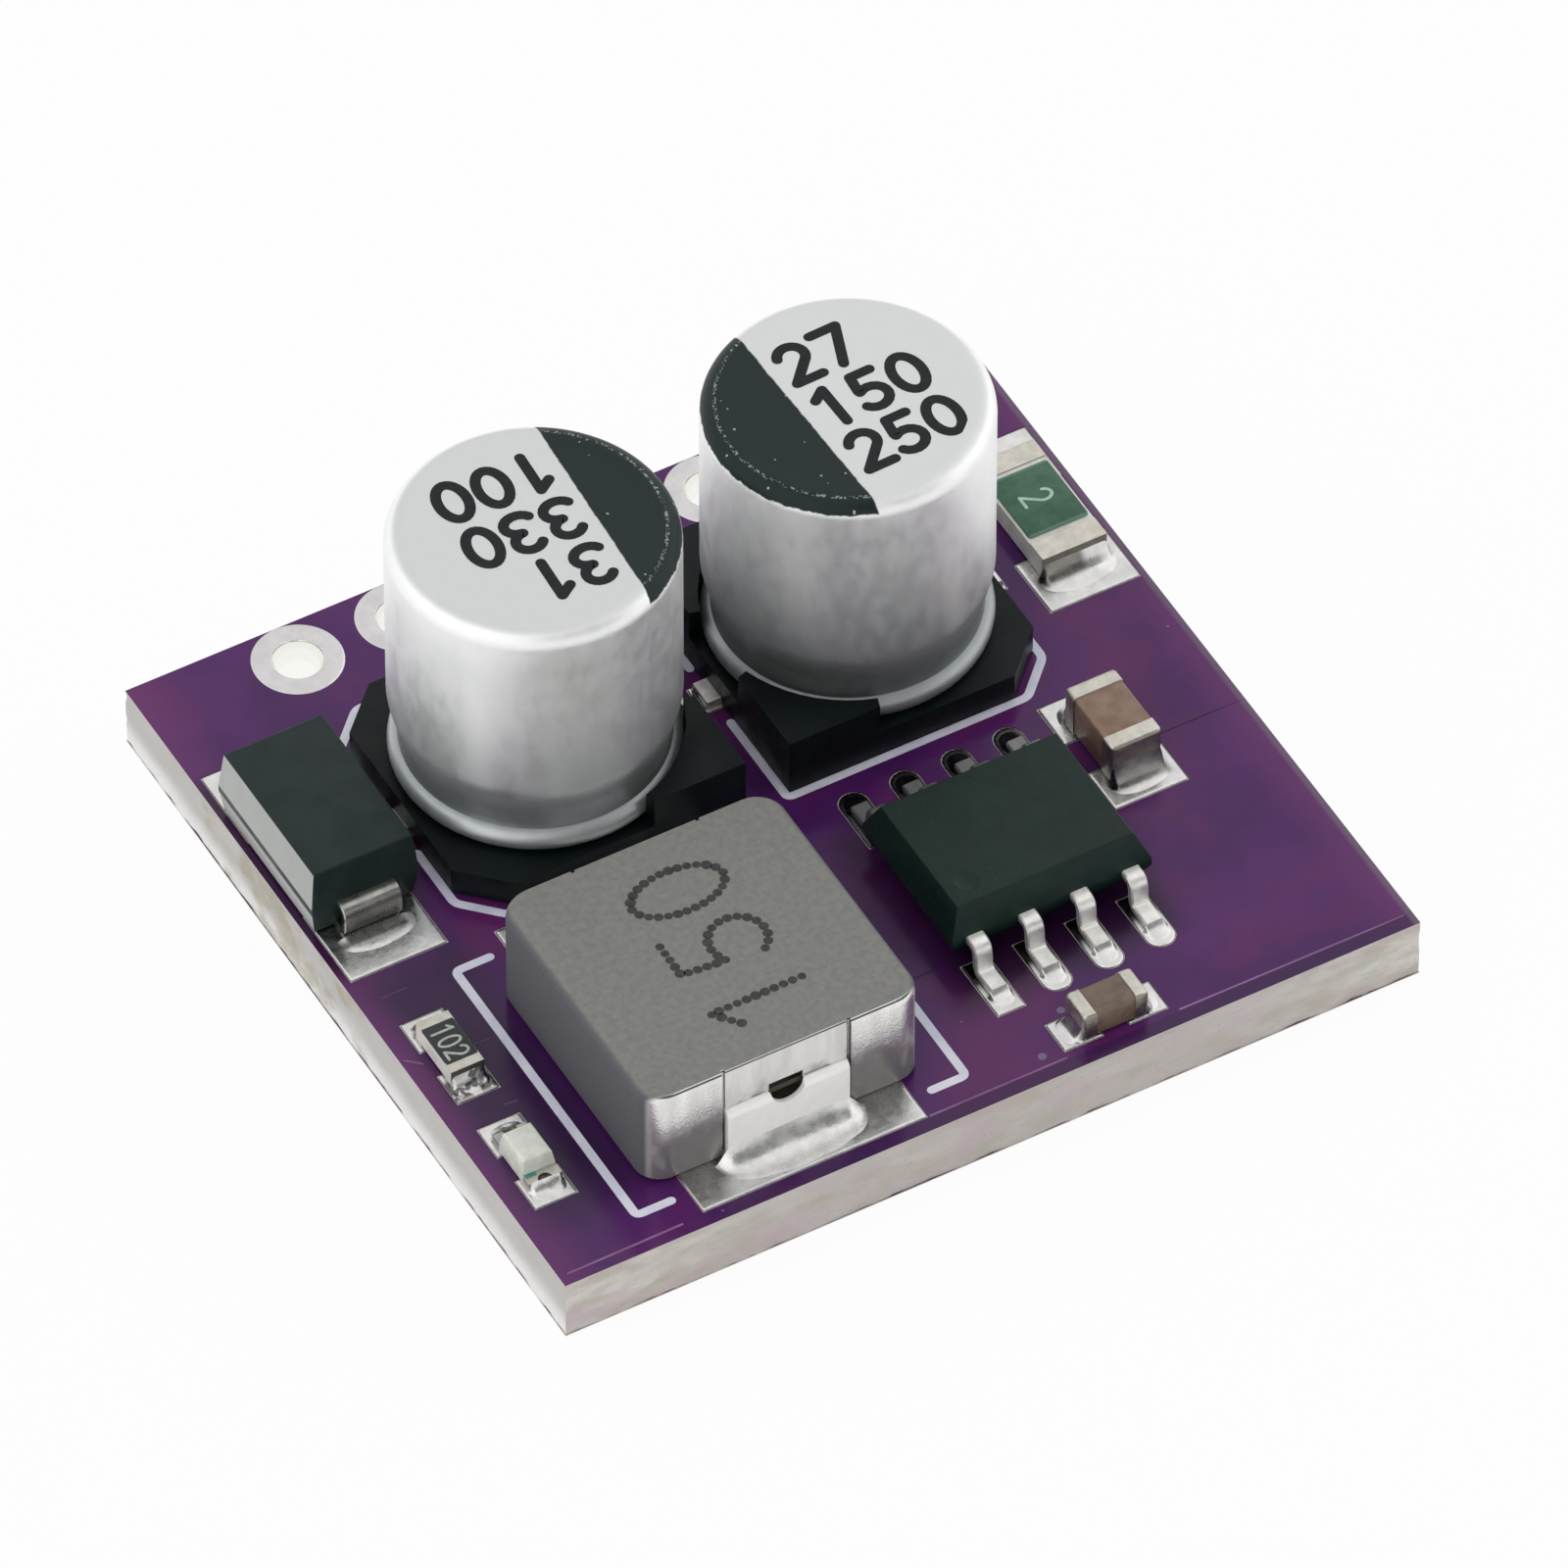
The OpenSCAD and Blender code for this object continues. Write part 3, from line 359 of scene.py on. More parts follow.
def bright_solder():
    """Solder, with painted shade and dark reflection on the controller's lands, painted shade below the front
    ends of the large ceramic and the fuse, a darker patch at the foot of the diode's front strap, and a
    painted dark reflection broken by noise on the resistor's front joint.
    """
    f = Finish(
        "bright_solder", (206, 205, 204), (224, 223, 221), 0.4, (0.22, 0.34), 0.14, 0.003, Metallic=1.0
    )
    # painted shade and dark reflection on the controller's lands
    f.stain_and_shade((0.6, -6.7), (6.1, -0.2), (0.15, 0.15), 0.92, (50, 43, 54))
    # painted shade below the large ceramic's front end
    f.stain_and_shade((6.55, -3.36), (8.0, -2.9), (0.1, 0.1), 0.8, (104, 102, 98))
    # painted shade below the fuse's front cap
    f.stain_and_shade((8.2, 2.55), (9.3, 2.9), (0.1, 0.1), 0.75, (84, 76, 66))
    # darker at the foot of the diode's front strap
    f.stain_and_shade((-9.74, 0.83), (-8.32, 1.12), (0.06, 0.05), 0.8, (96, 97, 93))
    # painted dark reflection on the resistor's front joint, broken by noise into bright spots
    painted_dark_reflection = f.patch((-9.92, -4.1), (-8.86, -3.5), (0.05, 0.08), 0.85)
    f.paint(f.times(painted_dark_reflection, f.ramp(f.noise(4.2, 2.0), 0.56, 0.48)), (64, 60, 64))
    return f.done()


def end_tin():
    """Dipped ends, with painted shade on the faces that look to the front."""
    f = Finish("end_tin", (192, 188, 178), (208, 205, 195), 0.2, (0.34, 0.46), 0.07, 0.003, Metallic=1.0)
    # painted shade on the front faces
    f.paint(f.ramp(f.facing(1), -0.5, -0.85, 0.0, 0.75), (122, 116, 106))
    return f.done()


def lead_tin():
    """Bright leads, with painted shade and dark reflection on the controller's rear row."""
    f = Finish("lead_tin", (226, 224, 220), (244, 242, 238), 0.25, (0.3, 0.44), 0.09, 0.002, Metallic=0.7)
    # painted shade and dark reflection on the controller's rear leads
    f.stain_and_shade((0.6, -2.4), (6.4, -0.2), (0.15, 0.2), 0.85, (92, 93, 95))
    return f.done()


def tab_tin():
    """Bright terminals, with painted shade on what shows inside the notch at the fold."""
    f = Finish("tab_tin", (248, 247, 244), (253, 252, 250), 0.3, (0.4, 0.5), 0.1, 0.002, Metallic=0.1)
    x, y, z = f.axes(INDUCTOR_SPOT)
    narrow = f.calc("LESS_THAN", f.unsigned(x), 0.42)
    inside = f.calc("LESS_THAN", f.unsigned(y), 3.28)
    # painted shade inside the notch
    f.paint(f.times(narrow, inside, f.calc("GREATER_THAN", z, 2.7)), (58, 56, 44))
    return f.done()


def eyelet_tin():
    """Tin on the rings, smoother down the bore, where a painted reflection whitens it."""
    f = Finish(
        "eyelet_tin", (202, 200, 200), (213, 211, 211), 0.35, (0.24, 0.34), 0.12, 0.0015, Metallic=1.0
    )
    bore = f.ramp(f.unsigned(f.facing(2)), 0.5, 0.2)
    # painted reflection that whitens the bore
    f.paint(bore, (252, 252, 249))
    f.polish(bore, 0.1)
    return f.done()


def can_aluminium(name, centre, side, chord, turn, top_shade, wall_shade, groove_shade):
    """Satin drawn can with painted shade: greyer down its wall towards the foot, darker in the groove and on
    its top; and a black half-moon printed on its top, over the rim.
    """
    f = Finish(
        name, (246, 247, 247), (252, 252, 252), 0.5, (0.42, 0.5), 0.07, 0.002,
        stretch=(1.0, 1.0, 0.5), Specular_IOR_Level=0.3,
    )
    x, y, z = f.axes((*centre, 0), turn)
    # painted shade, darker down the wall towards the foot
    f.paint(f.ramp(z, 7.2, 3.0), wall_shade)
    # painted shade in the groove
    f.paint(f.times(f.ramp(z, 2.85, 3.0), f.ramp(z, 4.7, 3.1)), groove_shade)
    # painted shade on the top
    top = f.times(f.ramp(z, 8.4, 8.7), f.ramp(f.facing(2), 0.75, 0.97))
    f.paint(f.times(top, 0.9), top_shade)
    ragged = f.noise(5.0, 4.0)
    edge = f.calc("MULTIPLY_ADD", ragged, 0.06, f.times(x, side))
    past_chord = f.ramp(edge, chord + 0.01, chord + 0.05)
    drop = f.calc("MULTIPLY_ADD", ragged, 0.14, z)
    on_top = f.ramp(drop, CAN_TOP - 0.22, CAN_TOP - 0.18)
    flecks = f.group(SPECKS, Size=0.16, Share=0.12)
    covered = f.calc("MULTIPLY_ADD", flecks, -0.45, 1.0)
    out = f.calc("SQRT", f.calc("MULTIPLY_ADD", x, x, f.times(y, y)))
    rim = f.times(f.ramp(out, 2.8, 2.83), f.ramp(out, 2.9, 2.87))
    rubbed = f.times(rim, f.ramp(f.noise(17.0, 2.0), 0.5, 0.6, 0.0, 0.45))
    printed = f.times(past_chord, on_top, covered, f.calc("SUBTRACT", 1.0, rubbed))
    f.paint(printed, (6, 28, 29))
    f.polish(printed, 0.42)
    f.metal = f.calc("MULTIPLY_ADD", printed, -0.8, 0.8)
    return f.done()


def pressed_powder():
    """Pressed iron powder: a matt grey top and flanks polished by the die, with painted shade on the left and
    right faces, painted shade and dark reflection over the lower flanks, painted shade in the pocket behind
    the notch, and a thin band painted dark under the top edge.
    """
    f = Finish(
        "pressed_powder", (122, 122, 118), (134, 133, 129), 0.16, (0.5, 0.62), 0.06, 0.004,
        Specular_IOR_Level=0.3,
    )
    upright = f.ramp(f.unsigned(f.facing(1)), 0.45, 0.8)
    streaks = f.ramp(f.noise(1.0, 4.0, (2.2, 2.2, 0.5)), 0.35, 0.65)
    flank = blend_colours(f.tree, streaks, srgb(222, 221, 218), srgb(240, 239, 236))
    # painted shade on the left and right faces
    f.paint(f.ramp(f.unsigned(f.facing(0)), 0.35, 0.9), (90, 91, 95))
    f.paint(upright, flank)
    f.polish(upright, 0.22)
    x, _, height = f.axes(INDUCTOR_SPOT)
    from_middle = f.unsigned(x)
    grit = f.noise(2.4, 6.0)
    ragged = f.calc("MULTIPLY_ADD", grit, -1.6, f.calc("ADD", height, 0.8))
    # painted shade and dark reflection over the lower flanks, with a ragged edge
    foot = f.times(upright, f.ramp(ragged, 3.45, 2.7, 0.0, 0.85))
    f.paint(foot, (124, 122, 121))
    panel = f.calc("LESS_THAN", from_middle, 1.5)
    f.polish(f.times(panel, upright), 0.42)
    # a thin band painted dark just under the top edge of the flanks
    dark_band_under_top = f.times(f.ramp(height, 4.25, 4.265), f.ramp(height, 4.32, 4.3), upright)
    f.paint(dark_band_under_top, (84, 84, 82))
    chipped = f.times(f.ramp(height, 3.22, 3.16), f.ramp(grit, 0.5, 0.56, 0.0, 0.6))
    f.paint(f.times(panel, chipped), (96, 94, 90))
    # painted shade in the pocket behind the notch
    pocket = f.times(f.calc("LESS_THAN", from_middle, 0.41), f.calc("LESS_THAN", height, 3.33))
    f.paint(pocket, (64, 62, 48))
    shine = f.calc("SUBTRACT", upright, f.calc("MAXIMUM", dark_band_under_top, f.times(foot, 0.5)))
    f.metal = f.times(shine, f.calc("MULTIPLY_ADD", panel, -0.65, 0.9))
    return f.done()


def black_moulding():
    """Black moulding, strewn with pale specks of its filler."""
    f = Finish(
        "black_moulding", (8, 32, 27), (14, 38, 33), 0.9, (0.36, 0.5), 0.06, 0.005, Specular_IOR_Level=0.25
    )
    f.paint(f.group(SPECKS, Size=0.09, Share=0.1), (44, 62, 56))
    return f.done()


def diode_moulding():
    """The same black, with a painted reflection that makes its two long sides pale, apart from the seam."""
    f = Finish(
        "diode_moulding", (22, 37, 36), (30, 44, 43), 0.9, (0.36, 0.5), 0.06, 0.003, Specular_IOR_Level=0.25
    )
    side = f.ramp(f.unsigned(f.facing(0)), 0.8, 0.97)
    height = f.axes()[2]
    seam = f.times(f.ramp(height, 2.28, 2.31), f.ramp(height, 2.5, 2.47))
    # painted reflection on the long sides
    f.paint(f.times(side, f.calc("SUBTRACT", 1.0, seam)), (172, 174, 172))
    return f.done()


def green_glaze():
    """Green glaze, paler where it thins towards the fuse's ends."""
    f = Finish(
        "green_glaze", (54, 94, 74), (74, 110, 90), 0.5, (0.16, 0.26), 0.05, 0.002, Specular_IOR_Level=0.3
    )
    y = f.axes((*FUSE_SPOT, 0))[1]
    rim = f.calc("MAXIMUM", f.ramp(y, 0.82, 0.9), f.ramp(y, -0.82, -0.9))
    f.paint(rim, (96, 134, 110))
    return f.done()


PURPLE = purple_mask("purple_mask", (70, 25, 88), (84, 34, 101))
# Paler mask on the ridges: worn thin over the copper, and a painted highlight. Darker mask in the creases:
# painted shade.
PURPLE_RIDGE_WORN_AND_HIGHLIT = purple_mask("purple_ridge_worn_and_highlit", (136, 96, 146), (156, 118, 164))
PURPLE_CREASE_SHADE = purple_mask("purple_crease_shade", (46, 12, 64), (60, 20, 78))
LAMINATE = board_laminate()
EYELET_TIN = eyelet_tin()
LEAD_TIN = lead_tin()
END_TIN = end_tin()
TAB_TIN = tab_tin()
SOLDER = bright_solder()
POWDER = pressed_powder()
MOULDING = black_moulding()
DIODE_MOULDING = diode_moulding()
GLAZE = green_glaze()
LEGEND = plain("legend_ink", (216, 216, 236), (234, 234, 246), 0.6, (0.4, 0.6), 0.05, 0.003)
DULL_TIN = plain("dull_tin", (156, 156, 151), (182, 181, 175), 0.5, (0.24, 0.36), 0.18, 0.001, Metallic=1.0)
RESIN = plain(
    "black_resin", (2, 11, 13), (5, 16, 18), 1.2, (0.34, 0.5), 0.08, 0.003, Specular_IOR_Level=0.2
)
BROWN = plain("brown_ceramic", (124, 98, 82), (146, 118, 101), 0.35, (0.3, 0.42), 0.03, 0.002)
DARK_BROWN = plain("dark_brown_ceramic", (98, 82, 68), (118, 100, 86), 0.35, (0.3, 0.42), 0.03, 0.002)
ALUMINA = plain("white_alumina", (212, 211, 204), (232, 231, 226), 0.4, (0.4, 0.55), 0.04, 0.002)
FILM = plain("black_film", (22, 26, 26), (34, 38, 38), 0.2, (0.25, 0.4), 0.03, 0.0015)
PALE_PRINT = plain("pale_print", (172, 178, 172), (192, 198, 192), 0.2, (0.4, 0.6), 0.03, 0.001)
GREEN_PRINT = plain("green_print", (160, 196, 180), (182, 214, 198), 0.2, (0.4, 0.6), 0.03, 0.001)
BLACK_PRINT = plain(
    "black_print", (8, 18, 19), (16, 26, 27), 0.2, (0.4, 0.55), 0.03, 0.0015, Specular_IOR_Level=0.25
)
BURNT = plain("burnt_dots", (36, 38, 38), (56, 58, 58), 0.15, (0.55, 0.7), 0.02, 0.003)
LENS = plain(
    "clear_resin", (214, 218, 206), (232, 234, 226), 0.3, (0.16, 0.26), 0.06, 0.002,
    Subsurface_Weight=0.3, Subsurface_Scale=0.0003,
)
TEAL = plain("teal_mark", (52, 126, 120), (74, 150, 140), 0.1, (0.35, 0.5), 0.03, 0.001)


# Outlines, in millimetres


def rounded(w, d, radii, steps=4):
    """A rectangle about the origin with round corners, counter-clockwise from the right rear one."""
    radii = radii if isinstance(radii, tuple) else (radii,) * 4
    points = []
    for quarter, (sx, sy) in enumerate(((1, 1), (-1, 1), (-1, -1), (1, -1))):
        r = max(radii[quarter], 0.004)
        for i in range(steps + 1):
            a = math.pi / 2 * (quarter + i / steps)
            points.append((sx * (w / 2 - r) + r * math.cos(a), sy * (d / 2 - r) + r * math.sin(a)))
    return points


def bow(cx, cy, rx, ry, start, end, count=14):
    """Points along an arc of an ellipse, angles in degrees."""
    angles = [math.radians(start + (end - start) * i / count) for i in range(count + 1)]
    return [(cx + rx * math.cos(a), cy + ry * math.sin(a)) for a in angles]


def eased(low, high, edge, count=3):
    """Steps of a block whose bottom and top edges are rounded."""
    angles = [math.pi / 2 * i / count for i in range(count + 1)]
    bottom = [(low + edge * (1 - math.cos(a)), edge * (1 - math.sin(a))) for a in angles]
    top = [(high - edge * (1 - math.sin(a)), edge * (1 - math.cos(a))) for a in angles]
    return bottom + top


def bent_corner(before, at, after, reach, count=4):
    """Points that round a corner of an outline, from reach before it to reach after it."""
    at = Vector(at)
    start = at + (Vector(before) - at).normalized() * reach
    end = at + (Vector(after) - at).normalized() * reach
    shares = [i / count for i in range(count + 1)]
    return [start * (1 - t) ** 2 + at * 2 * t * (1 - t) + end * t * t for t in shares]


def bent_path(points, reach, count=6):
    """A path of straight runs with its inner corners rounded."""
    path = [Vector(points[0])]
    for before, at, after in zip(points, points[1:], points[2:]):
        path += bent_corner(before, at, after, reach, count)
    return path + [Vector(points[-1])]


def meets_itself(line):
    return (Vector(line[0]) - Vector(line[-1])).length < 1e-6


# Shapes, in millimetres


def loft(loops, closed=False, bm=None):
    """Joins loops of equal count by quads, and shuts the two ends or joins them to each other."""
    if bm is None:
        bm = bmesh.new()
    rows = [[bm.verts.new(p) for p in loop] for loop in loops]
    count = len(rows[0])
    for a, b in zip(rows, rows[1:] + (rows[:1] if closed else [])):
        for i in range(count):
            j = (i + 1) % count
            bm.faces.new((a[i], a[j], b[j], b[i]))
    if not closed:
        bm.faces.new(rows[0][::-1])
        bm.faces.new(rows[-1])
    return bm


def slab_loops(centre, w, d, radii, steps):
    """Loops for a block from steps of (height, how far the sides come in there)."""
    around = radii if isinstance(radii, tuple) else (radii,) * 4
    loops = []
    for z, inset in steps:
        flat = rounded(w - 2 * inset, d - 2 * inset, tuple(r - min(inset, r * 0.8) for r in around))
        loops.append([(centre[0] + x, centre[1] + y, z) for x, y in flat])
    return loops


def eased_block(low, high, corner, edge):
    centre = ((low[0] + high[0]) / 2, (low[1] + high[1]) / 2)
    steps = eased(low[2], high[2], edge)
    return loft(slab_loops(centre, high[0] - low[0], high[1] - low[1], corner, steps))


def turned(centre, outline, count, closed=False):
    """A turned shape from an outline of (radius, height)."""
    angles = [math.tau * i / count for i in range(count)]
    loops = []
    for r, z in outline:
        loops.append([(centre[0] + r * math.cos(a), centre[1] + r * math.sin(a), z) for a in angles])
    return loft(loops, closed)


def bent_strip(path, x, width, thick, ease):
    """A flat strip along a path in a plane across X, with its four long edges eased."""
    half, flat = width / 2, thick / 2
    section = [
        (half - ease, -flat), (half, ease - flat), (half, flat - ease), (half - ease, flat),
        (ease - half, flat), (-half, flat - ease), (-half, ease - flat), (ease - half, -flat),
    ]
    loops = []
    for i, at in enumerate(path):
        way = (path[min(i + 1, len(path) - 1)] - path[max(i - 1, 0)]).normalized()
        loops.append([(x + s, at.x - way.y * t, at.y + way.x * t) for s, t in section])
    return loft(loops)


def carved(bm, cutters):
    """A shape less some others."""
    body = loose("carved_body", bm)
    tools = [loose(f"carving_tool_{i}", cutter) for i, cutter in enumerate(cutters)]
    for tool in tools:
        cut = body.modifiers.new("cut", "BOOLEAN")
        cut.object, cut.operation, cut.solver = tool, "DIFFERENCE", "EXACT"
    result = bmesh.new()
    result.from_mesh(made_real(body))
    for obj in (body, *tools):
        bpy.data.objects.remove(obj)
    return result


# Pieces


def loose(name, bm, turn_out=True):
    """An object from a shape, its faces turned outwards unless it is made that way."""
    if turn_out:
        bmesh.ops.recalc_face_normals(bm, faces=bm.faces)
    mesh = bpy.data.meshes.new(name)
    bm.to_mesh(mesh)
    bm.free()
    return added(name, mesh)


def in_metres(name, bm, turn_out=True):
    """An object from a shape in millimetres."""
    bmesh.ops.scale(bm, vec=(MM, MM, MM), verts=bm.verts)
    return loose(name, bm, turn_out)


def made_real(obj):
    """The mesh that an object's modifiers leave."""
    return bpy.data.meshes.new_from_object(obj.evaluated_get(bpy.context.evaluated_depsgraph_get()))


def settle(obj, nodes, smooth):
    """Shades a finished piece, keeping edges sharper than an angle, and hangs it on the part."""
    obj.data.shade_smooth()
    obj.data.set_sharp_from_angle(angle=math.radians(smooth))
    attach(obj, "root")
    if nodes:
        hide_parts(*nodes)


def piece(name, bm, finish, slot, *nodes, smooth=38, turn_out=True):
    """A finished piece from a shape in millimetres, and the solids it stands for."""
    obj = in_metres(name, bm, turn_out)
    obj.data.materials.append(finish)
    settle(obj, nodes, smooth)


def dress(finish, *nodes, edge=0.0):
    """Gives solids of the frame their finish and breaks their edges."""
    for node in nodes:
        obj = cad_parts[node]
        obj.data.materials.clear()
        obj.data.materials.append(finish)
        if edge:
            obj.modifiers.new("join", "WELD").merge_threshold = 1e-7
            flat = obj.modifiers.new("flat", "DECIMATE")
            flat.decimate_type, flat.angle_limit = "DISSOLVE", math.radians(1)
            bevel = obj.modifiers.new("edge", "BEVEL")
            bevel.width, bevel.segments, bevel.limit_method = edge * MM, 2, "ANGLE"
            bevel.angle_limit = math.radians(42)


# Shapes grown by Geometry Nodes


def growth(name, **inputs):
    return empty_tree("GeometryNodeTree", name, inputs, "Geometry", "Geometry")


def shape_of(tree, source):
    """The shape of an object that a tree is given."""
    return put(tree, "GeometryNodeObjectInfo", {"Object": source}).outputs["Geometry"]


def set_on(tree, points, shape, **more):
    """A shape repeated on points."""
    feeds = {"Points": points, "Instance": shape, **more}
    return put(tree, "GeometryNodeInstanceOnPoints", feeds).outputs[0]


def close_growth(tree, shape, finish, result):
    """Ends a tree: real faces, one finish."""
    real = put(tree, "GeometryNodeRealizeInstances", {"Geometry": shape}).outputs[0]
    coated = put(tree, "GeometryNodeSetMaterial", {"Geometry": real, "Material": finish}).outputs[0]
    tree.links.new(coated, result)


def grow(name, tree, values, slot, *nodes, smooth=38):
    """Runs a tree with its values and keeps the result as a plain piece."""
    host = added(name + "_host", bpy.data.meshes.new(name + "_host"))
    run = host.modifiers.new("grow", "NODES")
    run.node_group = tree
    for item in tree.interface.items_tree:
        if item.in_out == "INPUT":
            run[item.identifier] = values[item.name]
    mesh = made_real(host)
    host.modifiers.remove(run)
    for used in (host, *values.values()):
        if isinstance(used, bpy.types.Object):
            bpy.data.objects.remove(used)
    mesh.name = name
    settle(added(name, mesh), nodes, smooth)


def drawn_path(name, lines, height):
    """Lines through points in millimetres at one height, for a tree to follow."""
    curve = bpy.data.curves.new(name, "CURVE")
    curve.dimensions = "3D"
    for line in lines:
        spline = curve.splines.new("POLY")
        if meets_itself(line):
            spline.use_cyclic_u = True
            line = line[:-1]
        spline.points.add(len(line) - 1)
        for point, (x, y) in zip(spline.points, line):
            point.co = (x * MM, y * MM, height * MM, 1)
    return added(name, curve)


# Plain numerals

NUMERALS = {
    "0": [bow(0.31, 0.5, 0.25, 0.44, 90, 450, 28)],
    "1": [[(0.12, 0.76), (0.34, 0.94), (0.34, 0.06)]],
    "2": [bow(0.3, 0.69, 0.24, 0.25, 165, -35) + [(0.07, 0.06), (0.57, 0.06)]],
    "3": [bow(0.29, 0.72, 0.23, 0.22, 150, -85) + bow(0.29, 0.28, 0.26, 0.22, 85, -150)],
    "5": [[(0.53, 0.94), (0.15, 0.94), (0.11, 0.55)] + bow(0.28, 0.32, 0.26, 0.26, 128, -145)],
    "7": [[(0.06, 0.94), (0.56, 0.94), (0.24, 0.06)]],
}
ADVANCE = 0.72


def numeral_lines(text, start, right, up, height, wide=1.0):
    """The strokes of a number, from its lower left corner, in millimetres on the surface."""
    lines = []
    for place, digit in enumerate(text):
        for stroke in NUMERALS[digit]:
            line = []
            for x, y in stroke:
                along = wide * (x + place * ADVANCE)
                line.append(tuple(start[i] + height * (right[i] * along + up[i] * y) for i in range(2)))
            lines.append(line)
    return lines


def unbent(line):
    """A line cut where it turns sharply."""
    sharp = math.radians(40)
    runs = [[line[0]]]
    for before, at, after in zip(line, line[1:], line[2:]):
        runs[-1].append(at)
        if (Vector(at) - Vector(before)).angle(Vector(after) - Vector(at)) > sharp:
            runs.append([at])
    runs[-1].append(line[-1])
    return runs


def inked(bm, line, width, low, high):
    """A printed line of one width with round ends."""
    closed = meets_itself(line)
    points = [Vector(p) for p in (line[:-1] if closed else line)]
    count = len(points)
    sections = []
    for i, at in enumerate(points):
        before = points[i - 1] if closed or i else at
        after = points[(i + 1) % count] if closed or i + 1 < count else at
        sections.append((at, (after - before).normalized(), width / 2))
    if not closed:
        caps = []
        for (at, along, half), way in ((sections[0], -1), (sections[-1], 1)):
            angles = [math.radians(a) for a in (25, 50, 75)]
            caps.append([(at + along * way * half * math.sin(a), along, half * math.cos(a)) for a in angles])
        sections = caps[0][::-1] + sections + caps[1]
    loops = []
    for at, along, half in sections:
        side = Vector((-along.y, along.x)) * half
        a, b = at + side, at - side
        loops.append([(*b, low), (*a, low), (*a, high), (*b, high)])
    loft(loops, closed, bm)


def printed_numbers(name, rows, width, flat, sunk, finish):
    """Numbers on a flat face, each run of a number a hair above the one before it."""
    hair, levels = 0.0004, 4
    bm = bmesh.new()
    for lines in rows:
        runs = [run for line in lines for run in unbent(line)]
        for level, run in enumerate(runs):
            inked(bm, run, width, flat - sunk, flat + INK_T + hair * (level % levels))
    piece(name, bm, finish, None, turn_out=False)


# Board


def board_slab():
    """The laminate with edges left a little uneven by the cutter, and its four drilled holes."""
    low, high = span("board_core")
    w, d = high.x - low.x, high.y - low.y
    step, wander, levels = 0.15, 0.045, 9
    outline = []
    for sx, sy, tx, ty, length in (
        (1, -1, 0, 1, d), (1, 1, -1, 0, w), (-1, 1, 0, -1, d), (-1, -1, 1, 0, w),
    ):
        count = round(length / step)
        for i in range(count):
            along = i * length / count
            at = Vector((sx * w / 2 + tx * along, sy * d / 2 + ty * along))
            outline.append((at, Vector((-ty, tx)) if i else Vector((-sx, -sy)).normalized()))
    loops = []
    for k in range(levels + 1):
        z = low.z + (high.z - low.z) * k / levels
        loop = []
        for at, inward in outline:
            rough = noise.fractal(Vector((at.x * 1.7, at.y * 1.7, z * 3.0)), 0.7, 2.1, 4)
            depth = wander * min(max(0.35 + 0.65 * rough, 0.0), 1.0)
            loop.append((*(at + inward * depth), z))
        loops.append(loop)
    bore = [(DRILL_R, low.z - 1), (DRILL_R, high.z + 1)]
    slab = carved(loft(loops), [turned(middle_of(name), bore, 48) for name in EYELETS])
    piece("laminate_slab", slab, LAMINATE, "laminate", "board_core", smooth=60)


def wire_eyelets():
    """Tinned rings through the board, one made and set on each hole."""
    tree, given, result = growth("eyelets_on_holes", Ring="Object", Holes="Object", Finish="Material")
    rings = set_on(tree, shape_of(tree, given["Holes"]), shape_of(tree, given["Ring"]))
    close_growth(tree, rings, given["Finish"], result)
    bore, rim, top = 0.55, 1.02, LAND_TOP
    upper = [
        (DRILL_R, CORE_TOP), (rim, CORE_TOP), (rim, top - 0.022), (rim - 0.02, top - 0.008),
        (rim - 0.07, top), (bore + 0.06, top), (bore + 0.015, top - 0.012), (bore, top - 0.05),
    ]
    lower = [(r, max(top - z, 0)) for r, z in reversed(upper)]
    ring = turned((0, 0), upper + lower, 64, closed=True)
    spots = bmesh.new()
    for name in EYELETS:
        spots.verts.new((*middle_of(name).xy, 0))
    values = {
        "Ring": in_metres("eyelet_ring", ring), "Holes": in_metres("hole_spots", spots), "Finish": EYELET_TIN,
    }
    grow("tinned_eyelets", tree, values, "plating", *EYELETS)


def printed_legend():
    """Pale lines with round ends beside the inductor and round the bases, open at the terminals."""
    low, high = span("legend")
    pen, bend = 0.2, 0.14
    front, rear = low.y + pen / 2, -0.84
    lines = []
    for line_x, tip in ((-8.14, -7.3), (-0.16, -1.0)):
        lines.append([(tip, rear), (line_x, rear), (line_x, front), (tip, front)])
    half, cut, opening = 3.38, 0.85, 0.9
    corners = [(half, opening), (half, half), (cut - half, half), (-half, half - cut), (-half, opening)]
    for name, square_side in zip(CAPACITORS, (1, -1)):
        middle = middle_of(f"{name}_base")
        for way in (-1, 1):
            lines.append([(middle.x + square_side * x, middle.y + way * y) for x, y in corners])
    bm = bmesh.new()
    for line in lines:
        inked(bm, bent_path(line, bend), pen, low.z - 0.002, high.z)
    piece("printed_legend", bm, LEGEND, "legend", "legend", turn_out=False)


